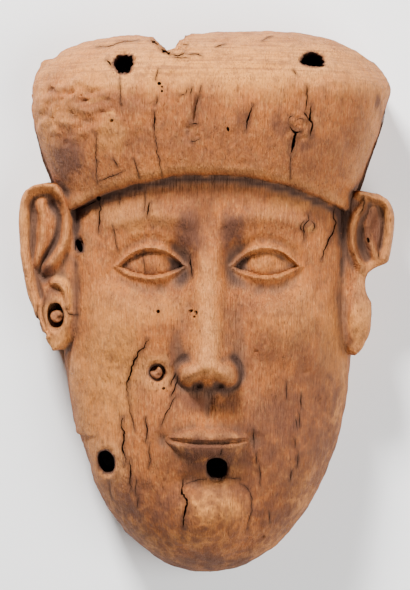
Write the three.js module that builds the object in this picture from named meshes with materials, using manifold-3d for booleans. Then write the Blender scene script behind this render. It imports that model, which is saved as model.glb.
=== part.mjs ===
// A carved wooden mummy mask with a plain cap, lying on its flat back. Millimetres, +Z out of the face.
// The carving is drawn with x = 0 in the middle of the cap and y = 0 half way up, +Y towards the top.
import * as THREE from 'three';
import { mergeVertices } from 'three/addons/utils/BufferGeometryUtils.js';
import Module from 'manifold-3d';

// Block of wood
const EDGE_Z = 18; // height of the outline above the flat back
const CAP_EDGE_Z = 26; // the same round the cap
const BACK_TAPER = 3.5; // how far the sides run in towards the back
const BELOW = 6; // the blanks reach this far below the back before it is planed flat
const TIP_CUT = 0.7; // the narrow end of the egg stops this far short of its point

// Face: an egg divided in equal thirds from brow to nose base to chin
const FACE_X = 0.5; // centre line of the face
const FACE_HALF = 73; // half width at the ears
const FACE_LENGTH = 136.5; // from the widest line down to the tip of the egg
const FACE_RISE = 52; // height of the brow and cheeks above the outline
const THIRD = 79;
const BROW_Y = 37;
const NOSE_BASE_Y = BROW_Y - THIRD;
const CHIN_Y = NOSE_BASE_Y - THIRD;
const EYE_Y = 17;
const EYE_X = 28; // one eye's width between the two inner corners
const EYE_HALF = 15;
const LID_UP = 7.6;
const LID_DOWN = 4.6;
const NOSE_TOP_Y = 24;
const NOSE_TIP_Y = NOSE_BASE_Y + 8;
const NOSE_HEIGHT = 25;
const MOUTH_Y = NOSE_BASE_Y - THIRD / 3;
const MOUTH_HALF = 21;
const LIP_UP = 7.4;
const LIP_DOWN = 9;
const FACE_LOW = TIP_CUT - FACE_LENGTH;

// Cap of the headcloth
const CAP_TOP_LEFT = 133.2;
const CAP_TOP_RIGHT = 135.4;
const CAP_LEFT = 88.2; // widest reach on each side
const CAP_RIGHT = 92.4;
const CAP_WIDE_LEFT_Y = 102; // heights of the widest reach
const CAP_WIDE_RIGHT_Y = 105.7;
const CAP_FLARE_LEFT = 11.2; // how far each side leans out on the way up
const CAP_FLARE_RIGHT = 17;
const CAP_CORNER_Y = 119.5;
const CORNER_LEFT = 4.7; // how far each corner is rounded in
const CORNER_RIGHT = 8.2;
const CROWN_LEFT = -36; // the top edge is straight between these
const CROWN_RIGHT = 27;
const CAP_FOOT_Y = 55; // where the sides of the cap meet the ears
const CAP_FRONT = 84; // foremost height of the cap
const CAP_FRONT_Y = 97;
const BAND_Y = 61; // lower edge over the middle of the forehead
const BAND_DROP = 15.5; // how far that edge drops at the temples
const BAND_HALF = 66;
const BAND_ROUND = 5;
const FACE_HIGH = BAND_Y + 15; // the face runs on under the cap
const ABOVE = CAP_FRONT + 26; // cutters end clear above the carving
const NOTCH = { x: -17, half: 15, depth: 11.6 }; // missing chip in the top edge

// Ears, each a lobe-ended oval that faces forward
const EAR_INNER_Z = 47;
const EAR_SLOPE = 0.33; // fall of the ear towards its outer edge
const EAR_HOLLOW = 5;
const EAR_JOIN = 6; // width of the slope where the ear grows out of the face

// Holes: x, y, half width, half height, tilt, taper and squareness (2 is an ellipse)
const FIXING_HOLES = [
  { x: -40.3, y: 114.8, rx: 4.9, ry: 4.7, tilt: 0.06, taper: 0.3, square: 3.2 },
  { x: 51.2, y: 117.5, rx: 5.2, ry: 3.7, tilt: -0.05, taper: -0.12, square: 3.6 },
  { x: -49.7, y: -79.1, rx: 4.2, ry: 5.7, tilt: 0.25, taper: 0, square: 2.2 },
  { x: 4.7, y: -80.8, rx: 5.2, ry: 5.3, tilt: 0, taper: 0, square: 2.1 },
];
const TEMPLE_SLIT = { x: -63.3, y: 27.5, rx: 1.5, ry: 3.4, tilt: 0.35, taper: 0, square: 2 };
const TEMPLE_SLIT_FLOOR = 34;
const HOLE_SIDES = 18;

// Wooden dowels, each in a bore at the bottom of a wider worn pocket
const DOWEL_PLAY = 0.35;
const EAR_DOWEL = { x: -74.6, y: -7.4, r: 3.2, top: 40 };
const EAR_POCKET = { x: -75.1, y: -7, rx: 4.1, ry: 6.2, tilt: 0.1, taper: 0, square: 2.4 };
const EAR_POCKET_FLOOR = 33;
const CHEEK_DOWEL = { x: -24.6, y: -34.6, r: 2.9, top: 68.5 };
const CHEEK_POCKET = { x: -24.1, y: -33.9, rx: 3.9, ry: 4, tilt: 0, taper: 0, square: 2 };
const CHEEK_POCKET_FLOOR = 64;

const wasm = await Module();
wasm.setup();

const clamp = (value, low, high) => Math.min(high, Math.max(low, value));
const mix = (a, b, share) => a + (b - a) * share;
const bell = (value) => Math.exp(-value * value);
const root = (value) => Math.sqrt(Math.max(0, value));

function smooth(from, to, value) {
  const share = clamp((value - from) / (to - from), 0, 1);
  return share * share * (3 - 2 * share);
}

// A rounded swelling, 1 in the middle and 0 outside its ellipse.
function swell(x, y, centreX, centreY, radiusX, radiusY) {
  const d = ((x - centreX) / radiusX) ** 2 + ((y - centreY) / radiusY) ** 2;
  return d < 1 ? (1 - d) ** 2 : 0;
}

// Distance from a point to a path of straight lines.
function pathDistance(x, y, path) {
  let nearest = Infinity;
  for (let i = 1; i < path.length; i += 1) {
    const [ax, ay] = path[i - 1];
    const [bx, by] = path[i];
    const length2 = (bx - ax) ** 2 + (by - ay) ** 2;
    const share = clamp(((x - ax) * (bx - ax) + (y - ay) * (by - ay)) / length2, 0, 1);
    nearest = Math.min(nearest, Math.hypot(x - mix(ax, bx, share), y - mix(ay, by, share)));
  }
  return nearest;
}

// Values from -1 to 1 for the grid lines of a blank, evenly spaced inside each zone [from, to, steps].
function spread(zones) {
  const start = zones[0][0];
  const end = zones[zones.length - 1][1];
  const values = [start];
  for (const [from, to, steps] of zones) {
    for (let i = 1; i <= steps; i += 1) {
      values.push(mix(from, to, i / steps));
    }
  }
  return values.map((value) => (2 * (value - start)) / (end - start) - 1);
}

// Turns a closed geometry into a solid, and back.
function solid(geometry) {
  const bare = geometry.clone();
  bare.deleteAttribute('normal');
  bare.deleteAttribute('uv');
  const merged = mergeVertices(bare, 1e-4);
  const vertProperties = new Float32Array(merged.attributes.position.array);
  const triVerts = new Uint32Array(merged.index.array);
  return new wasm.Manifold(new wasm.Mesh({ numProp: 3, vertProperties, triVerts }));
}

function geometryOf(manifold) {
  const mesh = manifold.getMesh();
  const geometry = new THREE.BufferGeometry();
  geometry.setAttribute('position', new THREE.BufferAttribute(mesh.vertProperties, 3));
  geometry.setIndex(new THREE.BufferAttribute(mesh.triVerts, 1));
  return geometry;
}

// A closed blank: its front is a grid of columns and rows, its sides run back below the flat back.
function blank(columns, rows, place) {
  const across = columns.length - 1;
  const up = rows.length - 1;
  const box = new THREE.BoxGeometry(2, 2, 2, across, up, 1);
  box.deleteAttribute('normal');
  box.deleteAttribute('uv');
  const merged = mergeVertices(box, 1e-4);
  const position = merged.attributes.position;
  for (let i = 0; i < position.count; i += 1) {
    const column = columns[Math.round(((position.getX(i) + 1) / 2) * across)];
    const row = rows[Math.round(((position.getY(i) + 1) / 2) * up)];
    const depth = (1 - position.getZ(i)) / 2;
    const [x, y, z] = place(column, row, depth);
    position.setXYZ(i, x, y, z);
  }
  return solid(merged);
}

// Half width of the face at a height.
function faceHalf(y) {
  return FACE_HALF * root(1 - Math.min(0.9999, (Math.abs(y) / FACE_LENGTH) ** 2.4));
}

// Eyelids: a rim round each almond, with the eye set back inside it.
function lids(side, y) {
  const along = (side - EYE_X) / EYE_HALF;
  const arch = Math.max(0, 1 - along * along);
  const over = y - (EYE_Y + LID_UP * arch ** 0.9);
  const under = EYE_Y - LID_DOWN * arch - y;
  const outside = Math.max(over, under) + 14 * Math.max(0, Math.abs(along) - 1);
  const inside = smooth(1, -1, outside);
  return 2 * bell((outside - 1.6) / 1.7) - 1.5 * inside;
}

// Lips: two full rolls that meet in a sunk line and taper to the corners.
function lips(side, y) {
  const along = side / MOUTH_HALF;
  if (along >= 1) {
    return 0;
  }
  const line = MOUTH_Y + 1.6 * along * along;
  const fade = (1 - along ** 4) ** 0.6;
  const bow = 1.5 * bell(side / 3.2);
  const up = (y - line) / (LIP_UP * (1 - along ** 2.2) - bow + 0.6);
  const down = (line - y) / (LIP_DOWN * (1 - along ** 2.4) + 0.6);
  const reach = Math.max(up, down);
  const roll = reach < 1 ? (up > down ? 4.4 : 5) * (1 - Math.abs(reach) ** 2.6) : 0;
  return fade * (roll - 3 * bell((y - line) / 1.5));
}

function nose(side, y) {
  const share = clamp((NOSE_TOP_Y - y) / (NOSE_TOP_Y - NOSE_TIP_Y), 0, 1);
  const ridge = mix(3, NOSE_HEIGHT - 3, share) * smooth(NOSE_TOP_Y + 14, NOSE_TOP_Y - 3, y);
  const width = mix(5.2, 7.8, share);
  const base = smooth(NOSE_BASE_Y - 2, NOSE_TIP_Y + 3, y);
  const tip = 4.5 * swell(side, y, 0, NOSE_TIP_Y + 1, 10.5, 10);
  const wing = 7.5 * swell(side, y, 9.4, NOSE_TIP_Y - 0.5, 7.4, 9);
  return (ridge * base) / (1 + (side / width) ** 3) + tip + wing;
}

// Everything that the face carries above its plain dome.
function relief(side, y) {
  const browY = BROW_Y + 4 * (1 - ((side - 26) / 25) ** 2);
  const brow = 2.2 * bell((y - browY) / 4.2) * smooth(54, 44, side) * smooth(3, 9, side);
  const socket = 7.5 * swell(side, y, EYE_X, EYE_Y - 3, 27, 20);
  const inner = 4.5 * swell(side, y, 13.5, EYE_Y + 2, 10, 17);
  const ball = 6.4 * swell(side, y, EYE_X, EYE_Y - 0.5, 19, 13);
  const cheek = 4 * swell(side, y, 40, -10, 28, 26) - 2.5 * swell(side, y, 47, -50, 22, 28);
  const muzzle = 6 * swell(side, y, 0, MOUTH_Y + 5, 37, 32);
  const groove = 1.6 * swell(side, y, 0, NOSE_BASE_Y - 10, 4.2, 11);
  const corner = 1.5 * swell(side, y, MOUTH_HALF + 1, MOUTH_Y + 1, 7, 6);
  const chin = 8.5 * swell(side, y, 0, CHIN_Y + 14, 28, 24) - 3 * swell(side, y, 0, MOUTH_Y - 19, 20, 8);
  const skull = brow - socket - inner + ball + cheek + muzzle - groove - corner + chin;
  return skull + lids(side, y) + nose(side, y) + lips(side, y);
}

function faceZ(x, y) {
  const side = Math.abs(x - FACE_X);
  const across = Math.min(1, side / faceHalf(y));
  const long = root(1 - (Math.abs(Math.min(y, 0)) / FACE_LENGTH) ** 6);
  const round = (1 - across ** 2.8) ** 0.55;
  return EDGE_Z + FACE_RISE * long * round + relief(side, y) * smooth(1, 0.9, across);
}

const faceColumns = spread([
  [-1, -0.904, 3],
  [-0.904, -0.63, 3],
  [-0.63, -0.151, 13],
  [-0.151, 0.151, 8],
  [0.151, 0.63, 13],
  [0.63, 0.904, 3],
  [0.904, 1, 3],
]);
const MOUTH_FOOT = MOUTH_Y - LIP_DOWN - 2.7;
const NOSE_ROW = NOSE_TIP_Y + 4;
const EYE_ROWS = [EYE_Y - 13, EYE_Y - 3.5, EYE_Y + 5, EYE_Y + 16]; // below, lower lid, upper lid, above
const faceRows = spread([
  [FACE_LOW, mix(FACE_LOW, MOUTH_FOOT, 0.07), 2],
  [mix(FACE_LOW, MOUTH_FOOT, 0.07), mix(FACE_LOW, MOUTH_FOOT, 0.34), 4],
  [mix(FACE_LOW, MOUTH_FOOT, 0.34), MOUTH_FOOT, 6],
  [MOUTH_FOOT, MOUTH_Y + LIP_UP + 1.9, 10],
  [MOUTH_Y + LIP_UP + 1.9, NOSE_BASE_Y - 2, 3],
  [NOSE_BASE_Y - 2, NOSE_ROW, 6],
  [NOSE_ROW, EYE_ROWS[0], 5],
  [EYE_ROWS[0], EYE_Y - 5, 2],
  [EYE_Y - 5, EYE_Y - 2, 3],
  [EYE_Y - 2, EYE_Y + 3.5, 3],
  [EYE_Y + 3.5, EYE_Y + 6.5, 3],
  [EYE_Y + 6.5, EYE_ROWS[3], 3],
  [EYE_ROWS[3], BROW_Y + 9, 4],
  [BROW_Y + 9, FACE_HIGH, 3],
]);

// The rows through the eyes run along the lids, which keeps the lids crisp on a coarse grid.
function bendRow(side, y) {
  const along = (side - EYE_X) / EYE_HALF;
  const arch = Math.max(0.35, 1 - along * along);
  const bent = [EYE_ROWS[0], EYE_Y - LID_DOWN * arch, EYE_Y + LID_UP * arch ** 0.9, EYE_ROWS[3]];
  for (let i = 1; i < 4; i += 1) {
    if (y > EYE_ROWS[i - 1] && y < EYE_ROWS[i]) {
      return mix(bent[i - 1], bent[i], (y - EYE_ROWS[i - 1]) / (EYE_ROWS[i] - EYE_ROWS[i - 1]));
    }
    if (y === EYE_ROWS[i]) {
      return bent[i];
    }
  }
  return y;
}

function placeFace(column, row, depth) {
  const straightY = mix(FACE_LOW, FACE_HIGH, (row + 1) / 2);
  const side = faceHalf(straightY) * column;
  const y = bendRow(Math.abs(side), straightY);
  const lift = BACK_TAPER * depth * smooth(FACE_LOW + 30, FACE_LOW, straightY);
  const x = FACE_X + side - BACK_TAPER * depth * column;
  return [x, y + lift, mix(faceZ(FACE_X + side, y), -BELOW, depth)];
}

// Outline of the cap: top edge, flared sides and the arched band over the forehead.
function capCrest(x) {
  const crest = mix(CAP_TOP_LEFT, CAP_TOP_RIGHT, smooth(CROWN_LEFT, CROWN_RIGHT, x));
  const past = Math.max(0, CROWN_LEFT - x) / (CAP_LEFT - CORNER_LEFT + CROWN_LEFT);
  const beyond = Math.max(0, x - CROWN_RIGHT) / (CAP_RIGHT - CORNER_RIGHT - CROWN_RIGHT);
  const left = (CAP_TOP_LEFT - CAP_CORNER_Y) * past ** 2.2;
  return crest - left - (CAP_TOP_RIGHT - CAP_CORNER_Y) * beyond ** 2.6;
}

function capTop(x) {
  return capCrest(x) - NOTCH.depth * swell(x, 0, NOTCH.x, 0, NOTCH.half, 1);
}

function capLeft(y) {
  const up = clamp((y - CAP_FOOT_Y - 5) / (CAP_WIDE_LEFT_Y - CAP_FOOT_Y - 5), -0.15, 1);
  const corner = Math.max(0, y - CAP_WIDE_LEFT_Y) / (CAP_CORNER_Y - CAP_WIDE_LEFT_Y);
  const flare = CAP_FLARE_LEFT * (Math.sin((Math.PI / 2) * up) - 1);
  return -(CAP_LEFT + flare - CORNER_LEFT * corner ** 2);
}

function capRight(y) {
  const down = clamp((CAP_WIDE_RIGHT_Y - y) / (CAP_WIDE_RIGHT_Y - CAP_FOOT_Y - 2), 0, 1.05);
  const corner = Math.max(0, y - CAP_WIDE_RIGHT_Y) / (CAP_CORNER_Y - CAP_WIDE_RIGHT_Y);
  return CAP_RIGHT - CAP_FLARE_RIGHT * down ** 1.15 - CORNER_RIGHT * corner ** 1.6;
}

function capBand(x) {
  const side = Math.abs(x - FACE_X);
  return BAND_Y - BAND_DROP * (side / BAND_HALF) ** 2 + 1.3 * Math.max(0, side - BAND_HALF - 2);
}

function capZ(x, y) {
  const level = Math.min(y, CAP_CORNER_Y);
  const middle = (capLeft(level) + capRight(level)) / 2;
  const half = (capRight(level) - capLeft(level)) / 2;
  const side = (1 - Math.min(1, Math.abs(x - middle) / half) ** 2.6) ** 0.55;
  const over = clamp((y - CAP_FRONT_Y) / (capCrest(x) - CAP_FRONT_Y), 0, 1);
  const roll = (1 - over ** 2.2) ** 0.6;
  const lean = 6 * (Math.max(0, CAP_FRONT_Y - y) / (CAP_FRONT_Y - BAND_Y)) ** 2;
  const inset = clamp((y - capBand(x)) / BAND_ROUND, 0, 1);
  const edge = BAND_ROUND * (1 - root(1 - (1 - inset) ** 2));
  return CAP_EDGE_Z + (CAP_FRONT - CAP_EDGE_Z - lean) * side * roll - edge * side;
}

const capColumns = spread([
  [-1, -0.94, 2],
  [-0.94, -0.8, 2],
  [-0.8, -0.4, 4],
  [-0.4, 0, 6],
  [0, 0.8, 8],
  [0.8, 0.94, 2],
  [0.94, 1, 2],
]);
const capRows = spread([
  [0, 0.09, 4],
  [0.09, 0.55, 4],
  [0.55, 0.85, 5],
  [0.85, 1, 5],
]);

// The cap's front is a patch stretched between its four edges.
function placeCap(column, row, depth) {
  const s = (column + 1) / 2;
  const t = (row + 1) / 2;
  const sideY = mix(CAP_FOOT_Y, CAP_CORNER_Y, t);
  const lowX = mix(capLeft(CAP_FOOT_Y), capRight(CAP_FOOT_Y), s);
  const highX = mix(capLeft(CAP_CORNER_Y), capRight(CAP_CORNER_Y), s);
  const x = mix(capLeft(sideY), capRight(sideY), s);
  const y = sideY + mix(capBand(lowX) - CAP_FOOT_Y, capTop(highX) - CAP_CORNER_Y, t);
  const shrink = 1 - (BACK_TAPER * depth) / CAP_LEFT;
  const top = clamp((y - CAP_FRONT_Y) / (CAP_TOP_LEFT - CAP_FRONT_Y), 0, 1);
  return [x * shrink, y - BACK_TAPER * depth * top ** 2, mix(capZ(x, y), -BELOW, depth)];
}

// Each ear: its outline from foot to top, the path of its rim and the hollows and swellings inside.
const LEFT_EAR = {
  side: -1,
  low: -24.5,
  high: 58.8,
  turn: 36, // height where the outline starts to round over to the top
  over: 6, // how square that turn is
  reach: 93.7, // side at the widest, at the top and at the foot
  top: 76,
  foot: 76.8,
  draw: 2.2, // how late the outline draws in on the way down
  inner: 65,
  innerEnds: 6.5,
  raised: [
    { height: 5, width: 2.8, path: [[76, 56.5], [88.5, 55], [91.6, 44], [91, 24], [86.5, 1], [79, -17]] },
    { height: 5.5, width: 2.6, path: [[75.8, 56.2], [70.8, 50.8], [68.7, 40], [70.8, 28.3], [78.7, 17.4]] },
    { height: 3, width: 2.8, path: [[82.4, 49], [81.6, 38], [82.8, 28], [85.3, 19]] },
  ],
  sunk: [{ depth: 3, width: 2.2, path: [[77.8, 48.7], [73.3, 38.3], [77.4, 25.8], [83.3, 14], [81, 11.6]] }],
  lobe: { x: 75, y: -8, rx: 15, ry: 21, height: 6 },
  broken: null,
};
const RIGHT_EAR = {
  side: 1,
  low: -26.8,
  high: 54.6,
  turn: 37,
  over: 4,
  reach: 93.2,
  top: 75,
  foot: 73.7,
  draw: 1.6,
  inner: 66,
  innerEnds: 4,
  raised: [
    { height: 5, width: 2.4, path: [[76, 53], [81.8, 51.5], [88.5, 49], [91.3, 38], [88.2, 21]] },
    { height: 4.5, width: 2.2, path: [[77.8, 50], [73.8, 41.8], [71.8, 32], [73.2, 23.8], [76.2, 17.2]] },
    { height: 2.2, width: 2.6, path: [[83, 46], [79.5, 34], [83.5, 24], [86.5, 20]] },
  ],
  sunk: [{ depth: 3, width: 3, path: [[84, 40], [82, 30], [79, 22]] }],
  lobe: { x: 76, y: -8, rx: 12, ry: 20, height: 6 },
  broken: { y: 7.5, half: 8, depth: 3.2, lobe: 81.8, from: 14.5, to: 20.5 }, // the rim is lost above the lobe
};

function earInner(ear, y) {
  const middle = (ear.low + ear.high) / 2;
  return ear.inner + ear.innerEnds * (Math.abs(y - middle) / (ear.high - middle)) ** 12;
}

function earOuter(ear, y) {
  const over = Math.max(0, y - ear.turn) / (ear.high - ear.turn + 0.1);
  const under = Math.max(0, ear.turn - y) / (ear.turn - ear.low);
  const helix = mix(ear.top, ear.reach, root(1 - over ** ear.over));
  const whole = helix - (ear.reach - ear.foot) * under ** ear.draw;
  if (!ear.broken) {
    return whole;
  }
  const { broken } = ear;
  const lobeTop = broken.y - broken.half - 2.5;
  const down = Math.max(0, lobeTop - y) / (lobeTop - ear.low);
  const lobe = mix(broken.lobe, ear.foot, down ** 3);
  const loss = broken.depth * Math.max(0, 1 - (Math.abs(y - broken.y) / broken.half) ** 3);
  return mix(lobe, whole, smooth(broken.from, broken.to, y)) - loss;
}

function earZ(ear, side, y) {
  const inner = earInner(ear, y);
  const along = ({ width, path }) => bell(pathDistance(side, y, path) / width);
  const raised = ear.raised.map((rim) => rim.height * along(rim));
  const sunk = ear.sunk.map((groove) => groove.depth * along(groove));
  const { lobe } = ear;
  const full = lobe.height * swell(side, y, lobe.x, lobe.y, lobe.rx, lobe.ry);
  const edge = clamp((earOuter(ear, y) - side) / 2, 0, 1);
  const plane = EAR_INNER_Z - EAR_SLOPE * (side - inner) - EAR_HOLLOW - 2 * (1 - root(1 - (1 - edge) ** 2));
  const carvedZ = plane + Math.max(...raised, full) - Math.max(...sunk);
  return mix(faceZ(FACE_X + inner, y) - 0.6, carvedZ, smooth(0, EAR_JOIN, side - inner));
}

const earColumns = spread([
  [0, 0.1, 1],
  [0.1, 0.9, 8],
  [0.9, 1, 2],
]);
const earRows = spread([
  [0, 0.06, 2],
  [0.06, 0.48, 8],
  [0.48, 0.62, 6],
  [0.62, 0.94, 7],
  [0.94, 1, 3],
]);

function placeEar(ear, column, row, depth) {
  const t = (row + 1) / 2;
  const y = mix(ear.low, ear.high, t);
  const share = (ear.side * column + 1) / 2;
  const side = mix(earInner(ear, y), earOuter(ear, y), share);
  const inward = depth * mix(12, BACK_TAPER, share);
  const lift = BACK_TAPER * depth * (t < 0.001 ? 1 : 0);
  return [ear.side * (side - inward), y + lift, mix(earZ(ear, side, y), -BELOW, depth)];
}

// A prism along Z with a superellipse section that may widen upwards.
function prism({ x, y, rx, ry, tilt, taper, square }, from, to) {
  const outline = [];
  for (let i = 0; i < HOLE_SIDES; i += 1) {
    const angle = (2 * Math.PI * (i + 0.5)) / HOLE_SIDES;
    const [c, s] = [Math.cos(angle), Math.sin(angle)];
    const radius = (Math.abs(c) ** square + Math.abs(s) ** square) ** (-1 / square);
    const [px, py] = [rx * radius * c * (1 + taper * radius * s), ry * radius * s];
    outline.push(new THREE.Vector2(px, py).rotateAround(new THREE.Vector2(), tilt));
  }
  const section = new THREE.Shape(outline);
  const geometry = new THREE.ExtrudeGeometry(section, { depth: to - from, bevelEnabled: false });
  return solid(geometry.translate(x, y, from));
}

function bore({ x, y, r }) {
  const round = { x, y, rx: r + DOWEL_PLAY, ry: r + DOWEL_PLAY, tilt: 0, taper: 0, square: 2 };
  return prism(round, -BELOW, ABOVE);
}

function dowel({ r, top }) {
  return new THREE.CylinderGeometry(r, r, top, HOLE_SIDES).rotateX(Math.PI / 2).translate(0, 0, top / 2);
}

let carved = blank(faceColumns, faceRows, placeFace);
carved = carved.add(blank(capColumns, capRows, placeCap));
for (const ear of [LEFT_EAR, RIGHT_EAR]) {
  carved = carved.add(blank(earColumns, earRows, (column, row, depth) => placeEar(ear, column, row, depth)));
}

// The back is planed flat, then the holes are bored straight through.
const planing = new THREE.BoxGeometry(4 * CAP_RIGHT, 4 * FACE_LENGTH, 8 * BELOW).translate(0, 0, -4 * BELOW);
carved = carved.subtract(solid(planing));
for (const hole of FIXING_HOLES) {
  carved = carved.subtract(prism(hole, -BELOW, ABOVE));
}
carved = carved.subtract(prism(TEMPLE_SLIT, TEMPLE_SLIT_FLOOR, ABOVE));
carved = carved.subtract(prism(EAR_POCKET, EAR_POCKET_FLOOR, ABOVE));
carved = carved.subtract(prism(CHEEK_POCKET, CHEEK_POCKET_FLOOR, ABOVE));
carved = carved.subtract(bore(EAR_DOWEL));
carved = carved.subtract(bore(CHEEK_DOWEL));

function woodenMesh(name, geometry, color) {
  const wood = new THREE.MeshStandardMaterial({ color, roughness: 0.8, metalness: 0 });
  const mesh = new THREE.Mesh(geometry, wood);
  mesh.name = name;
  return mesh;
}

const mask = woodenMesh('mask', geometryOf(carved), '#b98257');
const earPeg = woodenMesh('ear_dowel', dowel(EAR_DOWEL), '#a87a50');
earPeg.position.set(EAR_DOWEL.x, EAR_DOWEL.y, 0);
const cheekPeg = woodenMesh('cheek_dowel', dowel(CHEEK_DOWEL), '#a06f48');
cheekPeg.position.set(CHEEK_DOWEL.x, CHEEK_DOWEL.y, 0);

// The origin is on the back, below the middle of the whole mask.
const group = new THREE.Group();
group.add(mask, earPeg, cheekPeg);
mask.geometry.computeBoundingBox();
const middle = mask.geometry.boundingBox.getCenter(new THREE.Vector3());
group.position.set(-middle.x, -middle.y, 0);

export default group;
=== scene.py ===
import math

import bpy
import numpy as np
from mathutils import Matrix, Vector, noise
from mathutils.bvhtree import BVHTree


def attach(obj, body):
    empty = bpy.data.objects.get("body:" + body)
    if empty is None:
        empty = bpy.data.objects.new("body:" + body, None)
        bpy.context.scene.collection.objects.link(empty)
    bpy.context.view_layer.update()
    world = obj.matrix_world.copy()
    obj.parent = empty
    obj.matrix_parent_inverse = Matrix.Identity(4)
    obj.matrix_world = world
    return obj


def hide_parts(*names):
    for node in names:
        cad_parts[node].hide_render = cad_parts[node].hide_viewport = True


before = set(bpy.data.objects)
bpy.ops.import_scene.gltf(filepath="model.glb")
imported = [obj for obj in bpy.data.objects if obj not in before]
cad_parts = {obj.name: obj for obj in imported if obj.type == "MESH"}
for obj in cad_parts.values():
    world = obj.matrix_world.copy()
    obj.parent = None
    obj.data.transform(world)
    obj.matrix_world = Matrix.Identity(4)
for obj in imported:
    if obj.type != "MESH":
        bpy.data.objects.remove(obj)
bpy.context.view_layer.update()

# The carved block and its face
# The mask is one block of fine-grained wood. The face is an egg in equal thirds from brow to
# nose base to chin, carved down from the block's front. All sizes are in millimetres, with
# x = 0 near the middle and y = 0 half way up.

MM = 0.001
ORIGIN_SHIFT = np.array([0.2503, 0.2018, 0.0])  # from the carving's own zero to the frame's
EDGE_Z = 18.0  # height of the outline above the flat back
BACK_TAPER = 3.5  # how far the sides run in towards the back
BELOW = 6.0  # the blanks reach below the back before it is planed flat
RINGS = 10  # rows of faces from the front of the cap or an ear to its back
FACE_RINGS = 8

FACE_X = 0.5
FACE_HALF = 73.0
FACE_LENGTH = 136.5
FACE_RISE = 52.0
FACE_LOW, FACE_HIGH = -135.8, 76.0
THIRD = 79.0
BROW_Y = 37.0
NOSE_BASE_Y = BROW_Y - THIRD
CHIN_Y = NOSE_BASE_Y - THIRD
EYE_Y, EYE_X, EYE_HALF = 17.0, 28.0, 15.0
LID_UP, LID_DOWN = 7.6, 4.6
NOSE_TOP_Y = 24.0
NOSE_TIP_Y = NOSE_BASE_Y + 8
NOSE_HEIGHT = 25.0
MOUTH_Y = NOSE_BASE_Y - THIRD / 3
MOUTH_HALF = 21.0
LIP_UP, LIP_DOWN = 7.4, 9.0


def smooth(start, end, value):
    share = np.clip((value - start) / (end - start), 0, 1)
    return share * share * (3 - 2 * share)


def bell(value):
    return np.exp(-value * value)


def swell(x, y, centre_x, centre_y, radius_x, radius_y):
    """A rounded swelling, 1 in the middle and 0 outside its ellipse."""
    d = ((x - centre_x) / radius_x) ** 2 + ((y - centre_y) / radius_y) ** 2
    return np.clip(1 - d, 0, None) ** 2


def face_half(y):
    return FACE_HALF * np.sqrt(1 - np.minimum(0.9999, (np.abs(y) / FACE_LENGTH) ** 2.4))


def lids(side, y):
    """A crisp rim round each almond, the eye set back inside it, a soft crease above."""
    along = (side - EYE_X) / EYE_HALF
    arch = np.clip(1 - along * along, 0, None)
    over = y - (EYE_Y + LID_UP * arch**0.9)
    under = EYE_Y - LID_DOWN * arch - y
    past = 14 * np.clip(np.abs(along) - 1, 0, None)
    outside = np.maximum(over, under) + past
    rim = 1.9 * bell((outside - 1.5) / 1.25)
    upper = np.where(over > under, 1.0, 0.75)
    crease = 0.7 * bell((over + past - 6.2) / 1.5) * arch
    cut = 0.9 * bell((outside + 0.4) / 0.55)
    return rim * upper - 1.5 * smooth(0.7, -0.7, outside) - crease - cut


def lips(side, y):
    """Two full rolls that meet in a sunk line and taper to the corners."""
    along = np.clip(side / MOUTH_HALF, 0, 1)
    line = MOUTH_Y + 1.6 * along * along
    fade = (1 - along**4) ** 0.6
    bow = 1.5 * bell(side / 3.2)
    up = (y - line) / (LIP_UP * (1 - along**2.2) - bow + 0.6)
    down = (line - y) / (LIP_DOWN * (1 - along**2.4) + 0.6)
    reach = np.clip(np.maximum(up, down), -1, 1)
    roll = np.where(up > down, 4.4, 5.0) * (1 - np.abs(reach) ** 2.6)
    return fade * (roll - 3.2 * bell((y - line) / 1.1))


def nose(side, y):
    """A plain ridge that widens to a round tip, with wings beside it and nostrils below."""
    share = np.clip((NOSE_TOP_Y - y) / (NOSE_TOP_Y - NOSE_TIP_Y), 0, 1)
    ridge = (3 + (NOSE_HEIGHT - 7) * share**1.1) * smooth(38, NOSE_TOP_Y - 3, y)
    width = 7.0 + 3.2 * share
    base = smooth(NOSE_BASE_Y - 3, NOSE_TIP_Y + 4, y)
    tip = 3.2 * swell(side, y, 0, NOSE_TIP_Y + 1, 12, 12)
    wing = 8.6 * swell(side, y, 9.2, NOSE_TIP_Y - 1.5, 7.2, 7.8)
    around = np.hypot((side - 9) / 7.6, (y - NOSE_TIP_Y + 0.5) / 7.8)
    fold = 1.3 * bell((around - 1) / 0.16) * smooth(7, 12, side)
    nostril = 4.5 * swell(side, y, 5.4, NOSE_BASE_Y + 1.4, 3.1, 2.1)
    return ridge * base * bell(side / width) + tip + wing - fold - nostril


def relief(side, y):
    """Everything that the face carries above its plain dome."""
    brow_y = BROW_Y + 4 * (1 - ((side - 26) / 25) ** 2)
    brow = 2.2 * bell((y - brow_y) / 4.2) * smooth(54, 44, side) * smooth(3, 9, side)
    socket = 7.5 * swell(side, y, EYE_X, EYE_Y - 3, 27, 20)
    inner = 4.5 * swell(side, y, 13.5, EYE_Y + 2, 10, 17)
    ball = 6.4 * swell(side, y, EYE_X, EYE_Y - 0.5, 19, 13)
    cheek = 4 * swell(side, y, 40, -10, 28, 26) - 2.5 * swell(side, y, 47, -50, 22, 28)
    muzzle = 6 * swell(side, y, 0, MOUTH_Y + 5, 37, 32)
    groove = 1.6 * swell(side, y, 0, NOSE_BASE_Y - 10, 4.2, 11)
    corner = 1.5 * swell(side, y, MOUTH_HALF + 1, MOUTH_Y + 1, 7, 6)
    chin = 8.5 * swell(side, y, 0, CHIN_Y + 14, 28, 24)
    chin -= 3 * swell(side, y, 0, MOUTH_Y - 19, 20, 8)
    skull = brow - socket - inner + ball + cheek + muzzle - groove - corner + chin
    return skull + lids(side, y) + nose(side, y) + lips(side, y)


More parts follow.
